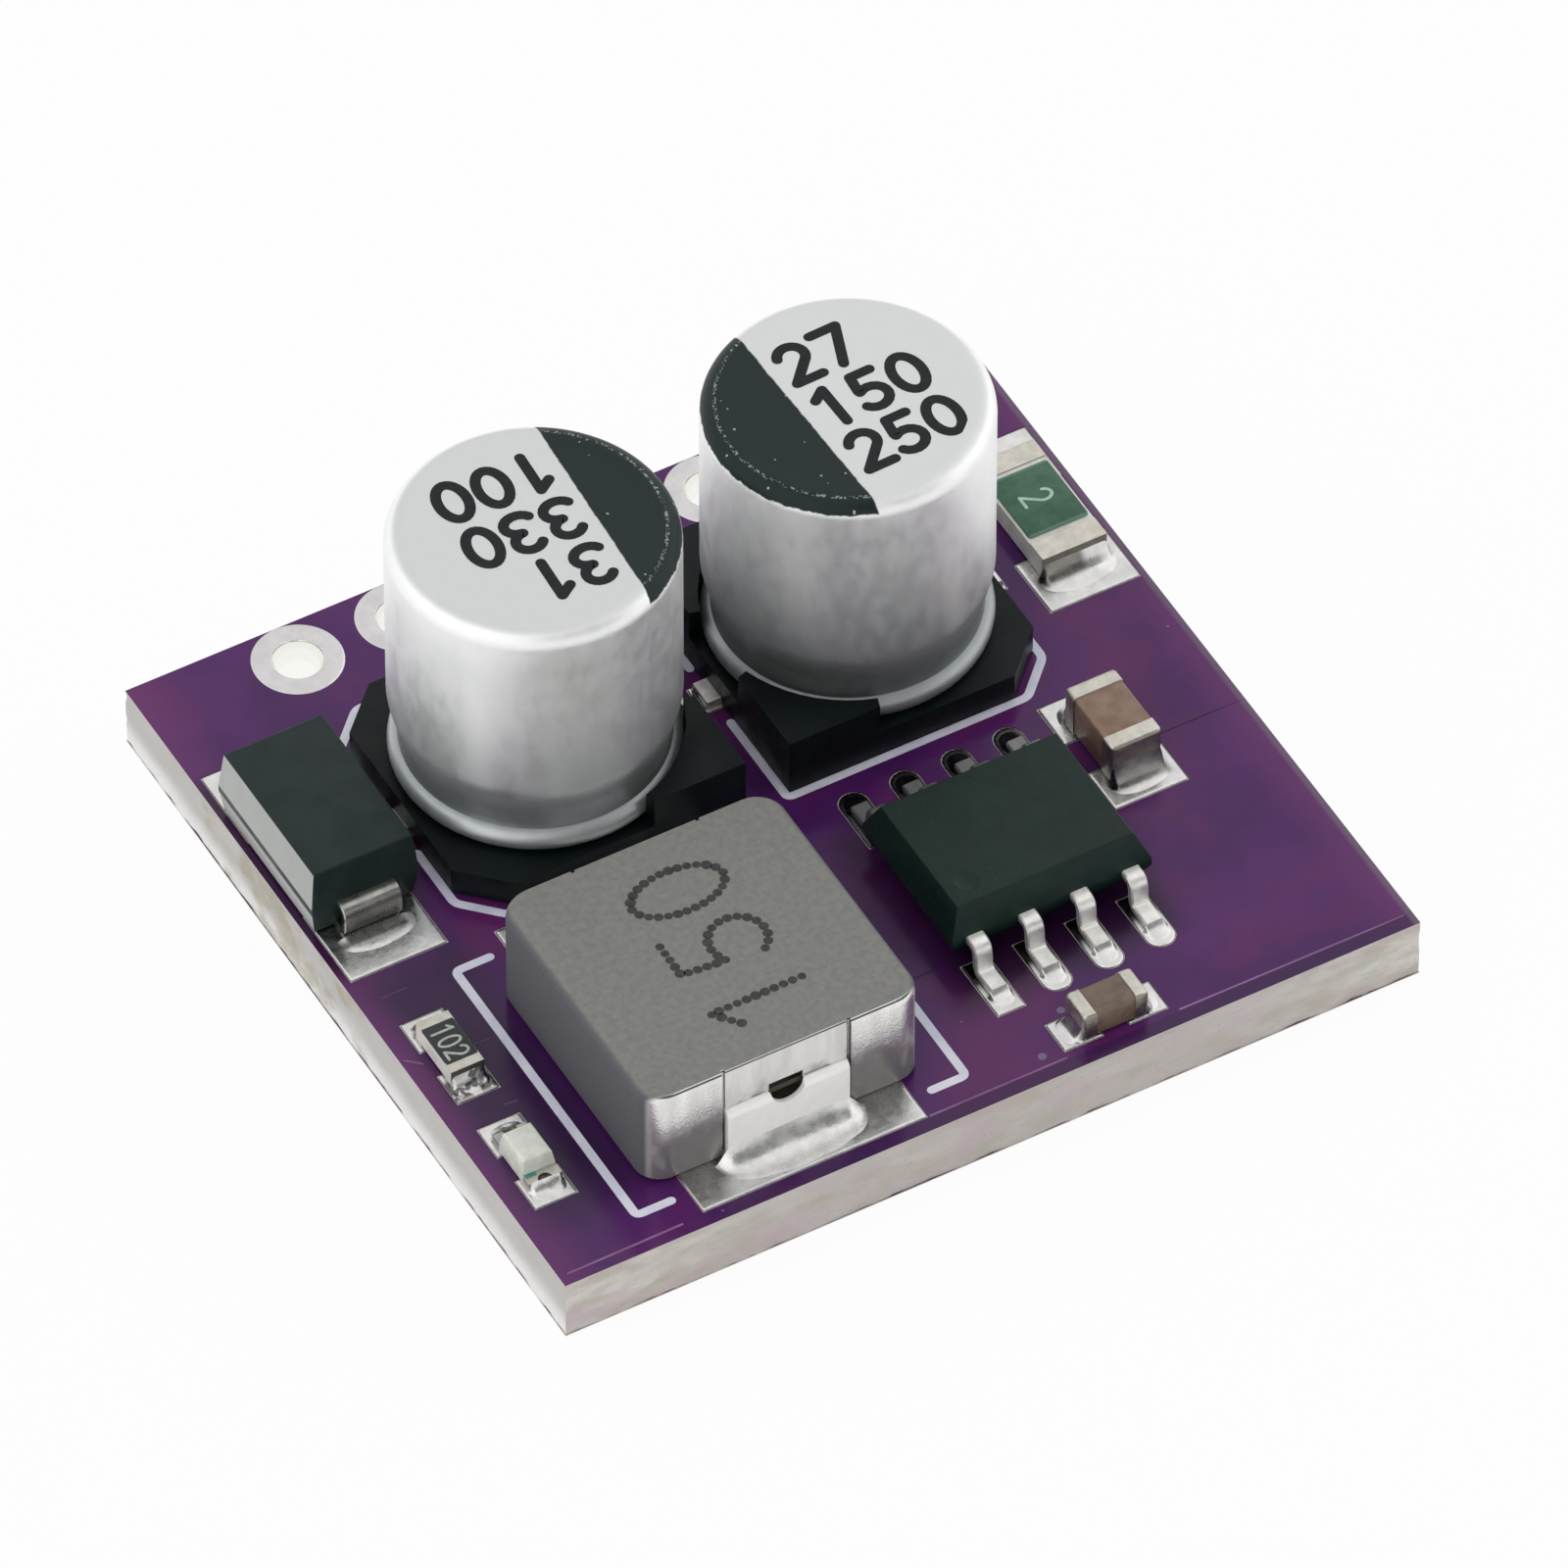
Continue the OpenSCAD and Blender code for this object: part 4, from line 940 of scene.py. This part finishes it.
def copper_edges():
    """Low ridges where the copper under the mask ends: the pale ones worn thin and with a painted highlight,
    the dark ones with painted shade.
    """
    tree, given, result = growth("ridges", Path="Object", Width="Float", Height="Float", Finish="Material")
    path = shape_of(tree, given["Path"])
    upright = put(tree, "GeometryNodeSetCurveNormal", {"Curve": path}, mode="Z_UP").outputs[0]
    ring = put(tree, "GeometryNodeCurvePrimitiveCircle", {"Resolution": 10, "Radius": 0.5}).outputs[0]
    feeds = {"X": given["Width"], "Y": given["Height"], "Z": 1.0}
    size = put(tree, "ShaderNodeCombineXYZ", feeds).outputs[0]
    oval = put(tree, "GeometryNodeTransform", {"Geometry": ring, "Scale": size}).outputs[0]
    feeds = {"Curve": upright, "Profile Curve": oval, "Fill Caps": True}
    close_growth(tree, put(tree, "GeometryNodeCurveToMesh", feeds).outputs[0], given["Finish"], result)
    # painted highlight along these ridges, where the mask is also worn thin over the copper edge
    pale = [
        [(-10.2, -9.42), (-7.4, -9.4)], [(-1.4, -9.33), (1.95, -9.33)], [(4.7, -9.32), (10.2, -9.36)],
        [(-9.85, -0.74), (-9.26, -0.73)], [(-10.3, -2.5), (-9.98, -2.8)],
        [(-8.8, -2.83), (-8.42, -2.86)], [(-9.05, -4.63), (-8.76, -4.67)],
    ]
    # painted shade along these creases
    dark = [[(8.3, -2.27), (10.3, -2.27)], [(-0.4, -5.8), (0.75, -5.8)]]
    for name, lines, finish in (("pale", pale, PURPLE_RIDGE_WORN_AND_HIGHLIT), ("dark", dark, PURPLE_CREASE_SHADE)):
        path = drawn_path(f"{name}_copper_paths", lines, BOARD_TOP)
        values = {"Path": path, "Width": 0.06 * MM, "Height": 0.024 * MM, "Finish": finish}
        grow(f"{name}_copper_ridges", tree, values, "mask", smooth=80)


# Solder


def land(bm, x0, y0, x1, y1, radii=0.06):
    """A tinned land that swells a little above the mask."""
    steps = [
        (CORE_TOP, 0), (BOARD_TOP - 0.005, 0),
        (LAND_TOP - 0.01, 0.012), (LAND_TOP - 0.003, 0.035), (LAND_TOP, 0.08),
    ]
    loft(slab_loops(((x0 + x1) / 2, (y0 + y1) / 2), x1 - x0, y1 - y0, radii, steps), bm=bm)


def meniscus(bm, foot, out, half, rise, run, spread, seed, lumps):
    """Solder drawn up a wall: it starts at the wall's foot and sweeps down and out to the land."""
    out = Vector(out)
    across = Vector((-out.y, out.x))
    reach_count, across_count = 14, 44
    uneven_rise, uneven_run, crown, sunk = 0.08, 0.05, 0.04, 0.01
    floor = LAND_TOP - 0.03
    wide = half + spread
    top = []
    for i in range(across_count + 1):
        v = -wide + 2 * wide * i / across_count
        past = max(abs(v) - half, 0) / spread
        up = rise * (0.5 + 0.5 * math.cos(math.pi * past))
        up *= 1 + uneven_rise * noise.noise(Vector((v * 1.4, seed, 0)))
        bowed = math.sqrt(max(1 - (v / wide) ** 2, 0))
        length = run * (0.25 + 0.75 * bowed)
        length *= 1 + uneven_run * noise.noise(Vector((v * 1.6, seed, 5)))
        column = []
        for j in range(reach_count + 1):
            t = j / reach_count
            at = Vector(foot) + across * v + out * length * t
            lump = lumps * noise.noise(Vector((at.x * 4, at.y * 4, seed))) * math.sin(math.pi * t)
            swell = crown * (1 - t ** 5)
            height = up * (1 - t) ** 3 + (swell + lump) * (1 - past) - sunk
            column.append(bm.verts.new((at.x, at.y, LAND_TOP + height)))
        top.append(column)
    for a, b in zip(top, top[1:]):
        for j in range(reach_count):
            bm.faces.new((a[j], a[j + 1], b[j + 1], b[j]))
    rim = top[0] + [c[-1] for c in top[1:-1]] + top[-1][::-1] + [c[0] for c in top[-2:0:-1]]
    below = [bm.verts.new((v.co.x, v.co.y, floor)) for v in rim]
    for i in range(len(rim)):
        j = (i + 1) % len(rim)
        bm.faces.new((rim[i], below[i], below[j], rim[j]))
    bm.faces.new(below)


def soldered(part, lands, sweeps, lumps=0.004):
    """A part's lands by their sides, and its sweeps: foot, way out, half width, rise, run and spread."""
    name = f"{part}_joints"
    bm = bmesh.new()
    for one in lands:
        land(bm, *one)
    for number, sweep in enumerate(sweeps):
        meniscus(bm, *sweep, number * 3.7 + len(name), lumps)
    piece(name, bm, SOLDER, "solder", f"{part}_solder", smooth=60)


def solder_joints():
    soldered("inductor", [(-6.85, -9.31, -1.45, -7.08), (-6.85, -2.48, -1.45, -0.25)], [
        ((-4.25, -8.36), FRONT, 1.4, 0.4, 0.92, 0.42),
        ((-4.25, -1.56), REAR, 1.45, 0.42, 0.82, 0.3),
    ])
    soldered("diode", [(-10.19, 0, -7.87, 2.1), (-10.19, 4.56, -7.87, 6.66)], [
        ((-9.03, 1.1), FRONT, 0.7, 0.04, 0.6, 0.24),
        ((-9.03, 6.0), REAR, 0.7, 0.2, 0.6, 0.24),
    ])
    soldered("fuse", [(8.03, 1.92, 10.23, 3.49), (8.03, 5.35, 10.23, 6.92)], [
        ((9.13, 2.82), FRONT, 0.74, 0.4, 0.66, 0.2),
        ((9.13, 6.02), REAR, 0.74, 0.4, 0.66, 0.2),
    ])
    soldered("large_ceramic", [(6.36, -3.7, 8.17, -2.53), (6.36, -1.56, 8.17, -0.39)], [
        ((7.265, -3.07), FRONT, 0.56, 0.55, 0.5, 0.16),
        ((7.265, -1.02), REAR, 0.56, 0.5, 0.5, 0.16),
    ])
    soldered("small_ceramic", [(2.01, -9.15, 2.93, -8.3), (3.59, -9.15, 4.51, -8.3)], [
        ((2.46, -8.725), LEFT, 0.32, 0.32, 0.38, 0.1),
        ((4.06, -8.725), RIGHT, 0.32, 0.32, 0.38, 0.1),
    ])
    soldered("resistor", [(-9.89, -4.14, -8.89, -3.25), (-9.89, -2.49, -8.89, -1.6)], [
        ((-9.39, -3.67), FRONT, 0.34, 0.26, 0.4, 0.12),
        ((-9.39, -2.07), REAR, 0.34, 0.22, 0.36, 0.12),
    ], lumps=0.06)
    soldered("lamp", [(-9.89, -7.52, -8.89, -6.63), (-9.89, -5.87, -8.89, -4.98)], [
        ((-9.39, -7.05), FRONT, 0.32, 0.2, 0.4, 0.12),
        ((-9.39, -5.45), REAR, 0.32, 0.2, 0.36, 0.12),
    ], lumps=0.04)
    for part, lands in zip(CAPACITORS, (
        [(-7.56, 3.0, -5.13, 3.8), (-2.53, 3.0, -0.1, 3.8)],
        [(0.1, 3.0, 2.53, 3.8), (5.13, 3.0, 7.56, 3.8)],
    )):
        soldered(part, lands, [
            ((lands[0][0] + 0.1, 3.4), LEFT, 0.3, 0.06, 0.09, 0.05),
            ((lands[1][2] - 0.1, 3.4), RIGHT, 0.3, 0.06, 0.09, 0.05),
        ])
    lands, sweeps = [], []
    half, blunt, round_end = 0.33, 0.05, 0.32
    for number in range(LEADS_IN_ROW):
        x = CONTROLLER_X + (number - (LEADS_IN_ROW - 1) / 2) * LEAD_PITCH
        outer = round_end if number else blunt
        lands.append((x - half, -7.6, x + half, -6.0, (blunt, blunt, outer, outer)))
        lands.append((x - half, -2.1, x + half, -0.5, (round_end, round_end, blunt, blunt)))
        sweeps.append(((x, -7.05), FRONT, 0.2, 0.13, 0.42, 0.1))
        sweeps.append(((x, -1.05), REAR, 0.2, 0.13, 0.42, 0.1))
    soldered("controller", lands, sweeps)


# Capacitors


def drawn_can(name, finish):
    """Can with its rolled bead and groove at the foot and a soft edge round the top."""
    low, high = span(f"{name}_can")
    r = (high.x - low.x) / 2
    bead, groove, edge = 0.3, 0.24, 0.4
    neck, z = r - groove, low.z
    flare, wall, count = z + 0.95, z + 2.05, 14
    outline = bow(r - bead, z + bead, bead, bead, -90, 75, 11)
    outline += [(neck + 0.02, z + 0.59), (neck, z + 0.68), (neck - 0.003, z + 0.8), (neck, z + 0.92)]
    for i in range(count + 1):
        swell = groove * (0.5 - 0.5 * math.cos(math.pi * i / count))
        outline.append((neck + swell, flare + (wall - flare) * i / count))
    outline += [(r, wall + (high.z - edge - wall) * i / 6) for i in range(1, 7)]
    outline += bow(r - edge, high.z - edge, edge, edge, 9, 90, 9)
    for inward, drop in ((0.1, 0.004), (0.25, 0.012), (0.4, CAN_DISH)):
        outline.append((r - edge - inward, high.z - drop))
    can = turned((low + high) / 2, outline, 160)
    piece(f"{name}_drawn_can", can, finish, "can", f"{name}_can", smooth=50)


def can_print(name, centre, way, texts, start, turn):
    """Black numbers in three lines beside the half-moon, read from the front where way is 1."""
    height, pitch, wide, pen = 1.18, 1.46, 1.1, 0.24
    swing = Matrix.Rotation(math.radians(turn), 2)
    right, up = swing @ Vector((way, 0)), swing @ Vector((0, way))
    rows = []
    for row, text in enumerate(texts):
        corner = Vector(centre) + right * start + up * (pitch * (1 - row) - height / 2)
        rows.append(numeral_lines(text, corner, right, up, height, wide))
    flat = span(f"{name}_can")[1].z - CAN_DISH
    printed_numbers(f"{name}_print", rows, pen, flat, 0.002, BLACK_PRINT)


def capacitors():
    # The last three tones of each can are painted shade: its top, its wall towards the foot and its groove.
    finishes = (
        can_aluminium(
            "output_can_aluminium", CAN_SPOTS[0], 1, 1.36, CAN_TURNS[0],
            (206, 207, 207), (192, 196, 197), (152, 157, 158),
        ),
        can_aluminium(
            "input_can_aluminium", CAN_SPOTS[1], -1, 1.06, CAN_TURNS[1],
            (210, 211, 211), (174, 178, 179), (140, 145, 146),
        ),
    )
    for name, finish in zip(CAPACITORS, finishes):
        drawn_can(name, finish)
        dress(RESIN, f"{name}_base", edge=0.05)
        dress(LEAD_TIN, f"{name}_positive_terminal", f"{name}_negative_terminal")
    can_print(CAPACITORS[0], CAN_SPOTS[0], -1, ("31", "330", "100"), -1.1, CAN_TURNS[0])
    can_print(CAPACITORS[1], CAN_SPOTS[1], 1, ("27", "150", "250"), -0.78, CAN_TURNS[1])


# Inductor


def inductor_body():
    """Pressed block, rounder along its left and right top edges than at the front and rear."""
    low, high = span("inductor_core")
    centre = (low + high) / 2
    w, d = high.x - low.x, high.y - low.y
    corner, bottom, soft, crisp, count = 0.6, 0.1, 0.24, 0.05, 6
    steps = [(low.z, bottom, bottom), (low.z + bottom, 0, 0)]
    for i in range(count + 1):
        a = math.pi / 2 * i / count
        inward = 1 - math.cos(a)
        steps.append((high.z - soft * (1 - math.sin(a)), soft * inward, crisp * inward))
    loops = []
    for z, in_x, in_y in steps:
        flat = rounded(w - 2 * in_x, d - 2 * in_y, corner - in_y, 8)
        loops.append([(centre.x + x, centre.y + y, z) for x, y in flat])
    strap, play, slit = 2.95, 0.08, 0.09
    channel = strap + 2 * play
    brink = (channel - slit) / 2
    below, above = low.z - 1, high.z + 1
    cutters = []
    for side in (-1, 1):
        face = centre.y + side * d / 2
        for off, width, deep, z0, z1, soft_corner in (
            (0, channel, 0.12, below, 3.13, 0.02),
            (0, channel, 0.05, 3.0, above, 0.02),
            (0, channel, 1.3, below, 1.78, 0.02),
            (0, 0.8, 0.27, 2.68, 3.32, 0.02),
            (-brink, slit, 0.1, below, above, 0.01),
            (brink, slit, 0.1, below, above, 0.01),
        ):
            x = centre.x + off
            near, far = (x - width / 2, face - deep, z0), (x + width / 2, face + deep, z1)
            cutters.append(eased_block(near, far, soft_corner, 0.01))
    block = carved(loft(loops), cutters)
    piece("inductor_block", block, POWDER, "inductor_core", "inductor_core", smooth=30)
    dress(TAB_TIN, "inductor_front_terminal", "inductor_rear_terminal", edge=0.02)


def burnt_number():
    """The number on the block's top, a row of small burnt dots along each stroke."""
    tree, given, result = growth(
        "burnt_dots_on_path",
        Path="Object", Dot="Float", Spacing="Float", Depth="Float", Seed="Int", Finish="Material",
    )
    feeds = {"Curve": shape_of(tree, given["Path"]), "Length": given["Spacing"]}
    points = put(tree, "GeometryNodeCurveToPoints", feeds, mode="LENGTH").outputs["Points"]
    feeds = {"Vertices": 10, "Radius": given["Dot"], "Depth": given["Depth"]}
    dot = put(tree, "GeometryNodeMeshCylinder", feeds).outputs["Mesh"]
    size = put(tree, "FunctionNodeRandomValue", {2: 0.85, 3: 1.12, "Seed": given["Seed"]}).outputs[1]
    wide = put(tree, "ShaderNodeCombineXYZ", {"X": size, "Y": size, "Z": 1.0}).outputs[0]
    close_growth(tree, set_on(tree, points, dot, Scale=wide), given["Finish"], result)
    lines = numeral_lines("150", (-2.85, -7.5), REAR, LEFT, 2.5, 0.96)
    top = span("inductor_core")[1].z + 0.001
    values = {
        "Path": drawn_path("burnt_strokes", lines, top),
        "Dot": 0.112 * MM, "Spacing": 0.21 * MM, "Depth": 0.008 * MM, "Seed": 4, "Finish": BURNT,
    }
    grow("burnt_number", tree, values, None, smooth=30)


# Diode and controller


def moulded_body(low, high, seam, draft, corner, edge):
    """A body moulded in two halves that slope away from the seam between them."""
    outline = [(draft, low.z), (0, seam[0]), (0, seam[1]), (draft, high.z)]
    inside = 1.0
    steps = bent_corner((inside, low.z), outline[0], outline[1], edge)
    steps += [Vector(p) for p in outline[1:3]]
    steps += bent_corner(outline[2], outline[3], (inside, high.z), edge)
    heights = [(p.y, p.x) for p in steps]
    return loft(slab_loops((low + high) / 2, high.x - low.x, high.y - low.y, corner, heights))


def folded_lead(x, face, side, reach, exit_z, thick, width, foot):
    """A lead that runs out of the body, folds down and runs back below it."""
    mid = thick / 2
    fold = face + side * (reach - mid)
    upper, lower = exit_z - mid, LAND_TOP + mid
    corners = [(face - side * 0.3, upper), (fold, upper), (fold, lower), (face - side * foot, lower)]
    return bent_strip(bent_path(corners, thick * 1.45), x, width, thick, 0.025)


def diode():
    low, high = span("diode_body")
    thick, tall, exit_share = 0.15, 1.85, 0.46
    exit_z = LAND_TOP + tall * exit_share
    body = moulded_body(low, high, (exit_z - thick, exit_z), 0.11, 0.05, 0.045)
    piece("diode_moulding", body, DIODE_MOULDING, "moulding", "diode_body", smooth=30)
    for name, side, face in (("front", -1, low.y), ("rear", 1, high.y)):
        strap = folded_lead((low.x + high.x) / 2, face, side, 0.35, exit_z, thick, 1.4, 0.8)
        piece(f"diode_{name}_strap", strap, DULL_TIN, "tinned_lead", f"diode_{name}_lead")


def lead_rows():
    """Tree of two rows of leads that face away from each other."""
    tree, given, result = growth(
        "lead_rows", Lead="Object", Count="Int", Pitch="Float", Centre="Vector", Finish="Material"
    )
    gaps = math_node(tree, "SUBTRACT", given["Count"], 1.0)
    begin = math_node(tree, "MULTIPLY", math_node(tree, "MULTIPLY", gaps, given["Pitch"]), -0.5)
    start = put(tree, "ShaderNodeCombineXYZ", {"X": begin}).outputs[0]
    step = put(tree, "ShaderNodeCombineXYZ", {"X": given["Pitch"]}).outputs[0]
    feeds = {"Count": given["Count"], "Start Location": start, "Offset": step}
    line = put(tree, "GeometryNodeMeshLine", feeds, mode="OFFSET").outputs[0]
    row = set_on(tree, line, shape_of(tree, given["Lead"]))
    across = put(tree, "GeometryNodeTransform", {"Geometry": row, "Rotation": (0, 0, math.pi)}).outputs[0]
    both = put(tree, "GeometryNodeJoinGeometry")
    tree.links.new(row, both.inputs[0])
    tree.links.new(across, both.inputs[0])
    feeds = {"Geometry": both.outputs[0], "Translation": given["Centre"]}
    close_growth(tree, put(tree, "GeometryNodeTransform", feeds).outputs[0], given["Finish"], result)
    return tree


def controller():
    """Moulded body with a dimple by its first lead, and two rows of leads bent down to the lands."""
    low, high = span("controller_body")
    thick, seam_top, draft = 0.2, LAND_TOP + 0.875, 0.3
    body = moulded_body(low, high, (seam_top - thick, seam_top), draft, 0.04, 0.035)
    inward, deep = draft + 0.55, 0.03
    bowl = [(0.2, high.z - deep), (0.26, high.z - deep + 0.02), (0.275, high.z), (0.3, high.z + 0.2)]
    dimple = turned((low.x + inward, low.y + inward), bowl, 32)
    piece("controller_moulding", carved(body, [dimple]), MOULDING, "moulding", "controller_body", smooth=30)

    reach, half, mid = 3.0, (high.y - low.y) / 2, thick / 2
    exit_z, knee, sole = seam_top - mid, half + 0.32, LAND_TOP + mid
    corners = [(0.3 - half, exit_z), (-knee, exit_z), (-knee - 0.06, sole), (-reach, sole)]
    lead = bent_strip(bent_path(corners, 0.2), 0, 0.42, thick, 0.035)
    centre = (low + high) / 2
    values = {
        "Lead": in_metres("one_lead", lead), "Count": LEADS_IN_ROW, "Pitch": LEAD_PITCH * MM,
        "Centre": (centre.x * MM, centre.y * MM, 0), "Finish": LEAD_TIN,
    }
    nodes = [f"controller_lead_{i + 1}" for i in range(2 * LEADS_IN_ROW)]
    grow("controller_leads", lead_rows(), values, "tinned_lead", *nodes)


# Chip parts


def end_cup(end, out, w, h, centre, length, wall, corner, bow_in):
    """A dipped metal end: a cup over the end of a block, its edge bowed a little."""
    out = Vector(out)
    across = Vector((-out.y, out.x))
    outer = rounded(w, h, corner, 5)
    inner = rounded(w - 2 * wall, h - 2 * wall, max(corner - wall, 0.01), 5)

    def loop(section, depth, inset=0, bowed=False):
        points = []
        for s, t in section:
            k = 1 - 2 * inset / min(w, h)
            back = depth + (bow_in * (1 - (2 * s / w) ** 2) if bowed else 0)
            at = Vector(end) - out * back + across * s * k
            points.append((at.x, at.y, centre + t * k))
        return points

    return loft([
        loop(outer, 0.0, corner), loop(outer, corner * 0.3, corner * 0.3), loop(outer, corner),
        loop(outer, length * 0.6), loop(outer, length - 0.015, bowed=True), loop(inner, length, bowed=True),
        loop(inner, length * 0.6), loop(inner, wall),
    ])


def ceramic_chip(name, ends, along_x, cap_length, tone):
    """A layered ceramic block and its two dipped ends."""
    block = eased_block(*span(f"{name}_block"), 0.05, 0.05)
    piece(f"{name}_fired_block", block, tone, "ceramic", f"{name}_block")
    for way, end in zip((-1, 1), ends):
        cap_low, cap_high = span(f"{name}_{end}_cap")
        size, centre = cap_high - cap_low, (cap_low + cap_high) / 2
        tip = cap_low if way < 0 else cap_high
        if along_x:
            spot, out, w = (tip.x, centre.y), (way, 0), size.y
        else:
            spot, out, w = (centre.x, tip.y), (0, way), size.x
        cup = end_cup(spot, out, w, size.z, centre.z, cap_length, 0.03, 0.09, -0.2 * cap_length)
        piece(f"{name}_{end}_dipped_end", cup, END_TIN, "tinned_lead", f"{name}_{end}_cap", smooth=50)


def fuse_cover():
    """Glaze that spills over the fuse's sides, and its number."""
    low, high = span("fuse_cover")
    spill = Vector((0.14, 0, 0))
    glaze = eased_block(low - spill, high + spill, 0.08, min(0.02, (high.z - low.z) * 0.45))
    piece("fuse_glaze", glaze, GLAZE, "fuse_cover", "fuse_cover")
    x, y = FUSE_SPOT
    lines = numeral_lines("2", (x - 0.4, y + 0.24), FRONT, RIGHT, 0.8, 0.8)
    printed_numbers("fuse_number", [lines], 0.075, high.z, 0.001, GREEN_PRINT)


def resistor_cover():
    """Dark coat that laps over the resistor's ends, and its number."""
    low, high = span("resistor_film")
    lap = Vector((0, 0.07, 0))
    high = high + Vector((0, 0, 0.015))
    coat = eased_block(low - lap, high + lap, 0.03, 0.012)
    piece("resistor_overglaze", coat, FILM, "resistor_film", "resistor_film")
    x, y = RESISTOR_SPOT
    lines = numeral_lines("102", (x - 0.29, y + 0.47), FRONT, RIGHT, 0.58, 0.8)
    printed_numbers("resistor_number", [lines], 0.06, high.z, 0.001, PALE_PRINT)


def lamp_lens():
    """Milky lens, and the dab of colour in front of it."""
    low, high = span("lamp_lens")
    dome = moulded_body(low, high, (low.z + 0.01, low.z + 0.02), 0.07, 0.03, 0.05)
    piece("lamp_dome", dome, LENS, "lamp_lens", "lamp_lens")
    base_low, base_high = span("lamp_base")
    near = (base_low.x + 0.02, low.y - 0.1, base_high.z - 0.01)
    far = (base_low.x + 0.3, low.y - 0.01, base_high.z + 0.012)
    piece("lamp_polarity_mark", eased_block(near, far, 0.03, 0.005), TEAL, None)


def chips():
    ceramic_chip("large_ceramic", ("front", "rear"), False, 0.42, BROWN)
    ceramic_chip("small_ceramic", ("left", "right"), True, 0.35, DARK_BROWN)
    dress(ALUMINA, "fuse_substrate", "resistor_substrate", "lamp_base", edge=0.015)
    dress(END_TIN, "fuse_front_cap", "fuse_rear_cap", edge=0.02)
    dress(END_TIN, "resistor_front_cap", "resistor_rear_cap", "lamp_front_end", edge=0.01)
    dress(DULL_TIN, "lamp_rear_end", edge=0.01)
    fuse_cover()
    resistor_cover()
    lamp_lens()


# Studio


def sheet(name, w, h, paint, place=(0, 0, 0), facing=(0, 0, 1)):
    """A flat sheet of the studio about a place in metres."""
    corners = [(-w / 2, -h / 2, 0), (w / 2, -h / 2, 0), (w / 2, h / 2, 0), (-w / 2, h / 2, 0)]
    turn = Vector(facing).to_track_quat("Z", "Y")
    mesh = bpy.data.meshes.new(name)
    mesh.from_pydata([turn @ Vector(c) + Vector(place) for c in corners], [], [(0, 1, 2, 3)])
    mesh.materials.append(paint)
    return added(name, mesh)


def matt(tree, grey):
    return put(tree, "ShaderNodeBsdfDiffuse", {"Color": (grey, grey, grey, 1)}).outputs[0]


def seen_directly(tree):
    """1 for what the camera sees, itself or in a mirror or through glass, and 0 for light that only fills."""
    path = put(tree, "ShaderNodeLightPath").outputs
    mirrored = math_node(tree, "MAXIMUM", path["Is Camera Ray"], path["Is Glossy Ray"])
    return math_node(tree, "MAXIMUM", mirrored, path["Is Transmission Ray"])


def pale_floor():
    """A floor that is nearly white where it is seen and still takes the part's shadow."""
    side, grey, whitened, below = 1.6, 0.92, 0.93, 0.00002
    paint, tree = empty_material("pale_floor")
    share = math_node(tree, "MULTIPLY", seen_directly(tree), whitened)
    white = put(tree, "ShaderNodeEmission", {"Color": (1, 1, 1, 1), "Strength": 1.0}).outputs[0]
    mixed = put(tree, "ShaderNodeMixShader", {0: share, 1: matt(tree, grey), 2: white}).outputs[0]
    put(tree, "ShaderNodeOutputMaterial", {"Surface": mixed})
    floor = sheet("pale_floor", side, side, paint)
    floor.location.z = -below


def grey_card(place, w, h, grey):
    """A grey card behind the camera, so that shiny fronts have something dark to mirror."""
    paint, tree = empty_material("grey_card")
    put(tree, "ShaderNodeOutputMaterial", {"Surface": matt(tree, grey)})
    card = sheet("grey_card", w, h, paint, place, place)


def white_room():
    """Plain white light from all sides, a little weaker where it only fills."""
    fill = 0.85
    world = bpy.data.worlds.new("white_room")
    scene.world = world
    world.use_nodes = True
    tree = world.node_tree
    tree.nodes.clear()
    strength = math_node(tree, "MULTIPLY_ADD", seen_directly(tree), 1 - fill, fill)
    sky = put(tree, "ShaderNodeBackground", {"Color": (1, 1, 1, 1), "Strength": strength}).outputs[0]
    put(tree, "ShaderNodeOutputWorld", {"Surface": sky})


def window_light(name, place, power, width):
    """A broad distant light, its width in degrees."""
    light = bpy.data.lights.new(name, "SUN")
    light.energy, light.angle = power, math.radians(width)
    obj = added(name, light)
    obj.rotation_mode = "QUATERNION"
    obj.rotation_quaternion = (-Vector(place)).to_track_quat("-Z", "Y")


def studio():
    pale_floor()
    white_room()
    window_light("right_window", (0.88, -0.14, 0.46), 0.36, 80)
    window_light("left_window", (-0.85, -0.1, 0.5), 0.38, 80)
    grey_card((0.1, -0.46, 0.46), 0.62, 0.44, 0.3)


def camera():
    """Long lens from the front left, above."""
    turn, rise, distance = math.radians(-29.452), math.radians(47.86), 501.4
    aside, above = 0.3, 0.473
    right = Vector((math.cos(turn), math.sin(turn), 0))
    back = Vector((math.sin(turn) * math.cos(rise), -math.cos(turn) * math.cos(rise), math.sin(rise)))
    up = back.cross(right)
    aim = Vector((0, 0, BOARD_TOP)) + right * aside + up * above
    lens = bpy.data.cameras.new("long_lens")
    lens.sensor_width, lens.lens = 36, 539.3
    lens.clip_start, lens.clip_end = 0.05, 5
    place = Matrix((right, up, back)).transposed().to_4x4()
    place.translation = (aim + back * distance) * MM
    scene.camera = added("long_lens", lens)
    scene.camera.matrix_world = place


def build():
    dress(PURPLE, "top_mask", "bottom_mask")
    board_slab()
    printed_legend()
    wire_eyelets()
    copper_edges()
    solder_joints()
    capacitors()
    inductor_body()
    burnt_number()
    diode()
    controller()
    chips()
    studio()
    camera()
    scene.view_settings.view_transform = "Standard"


build()
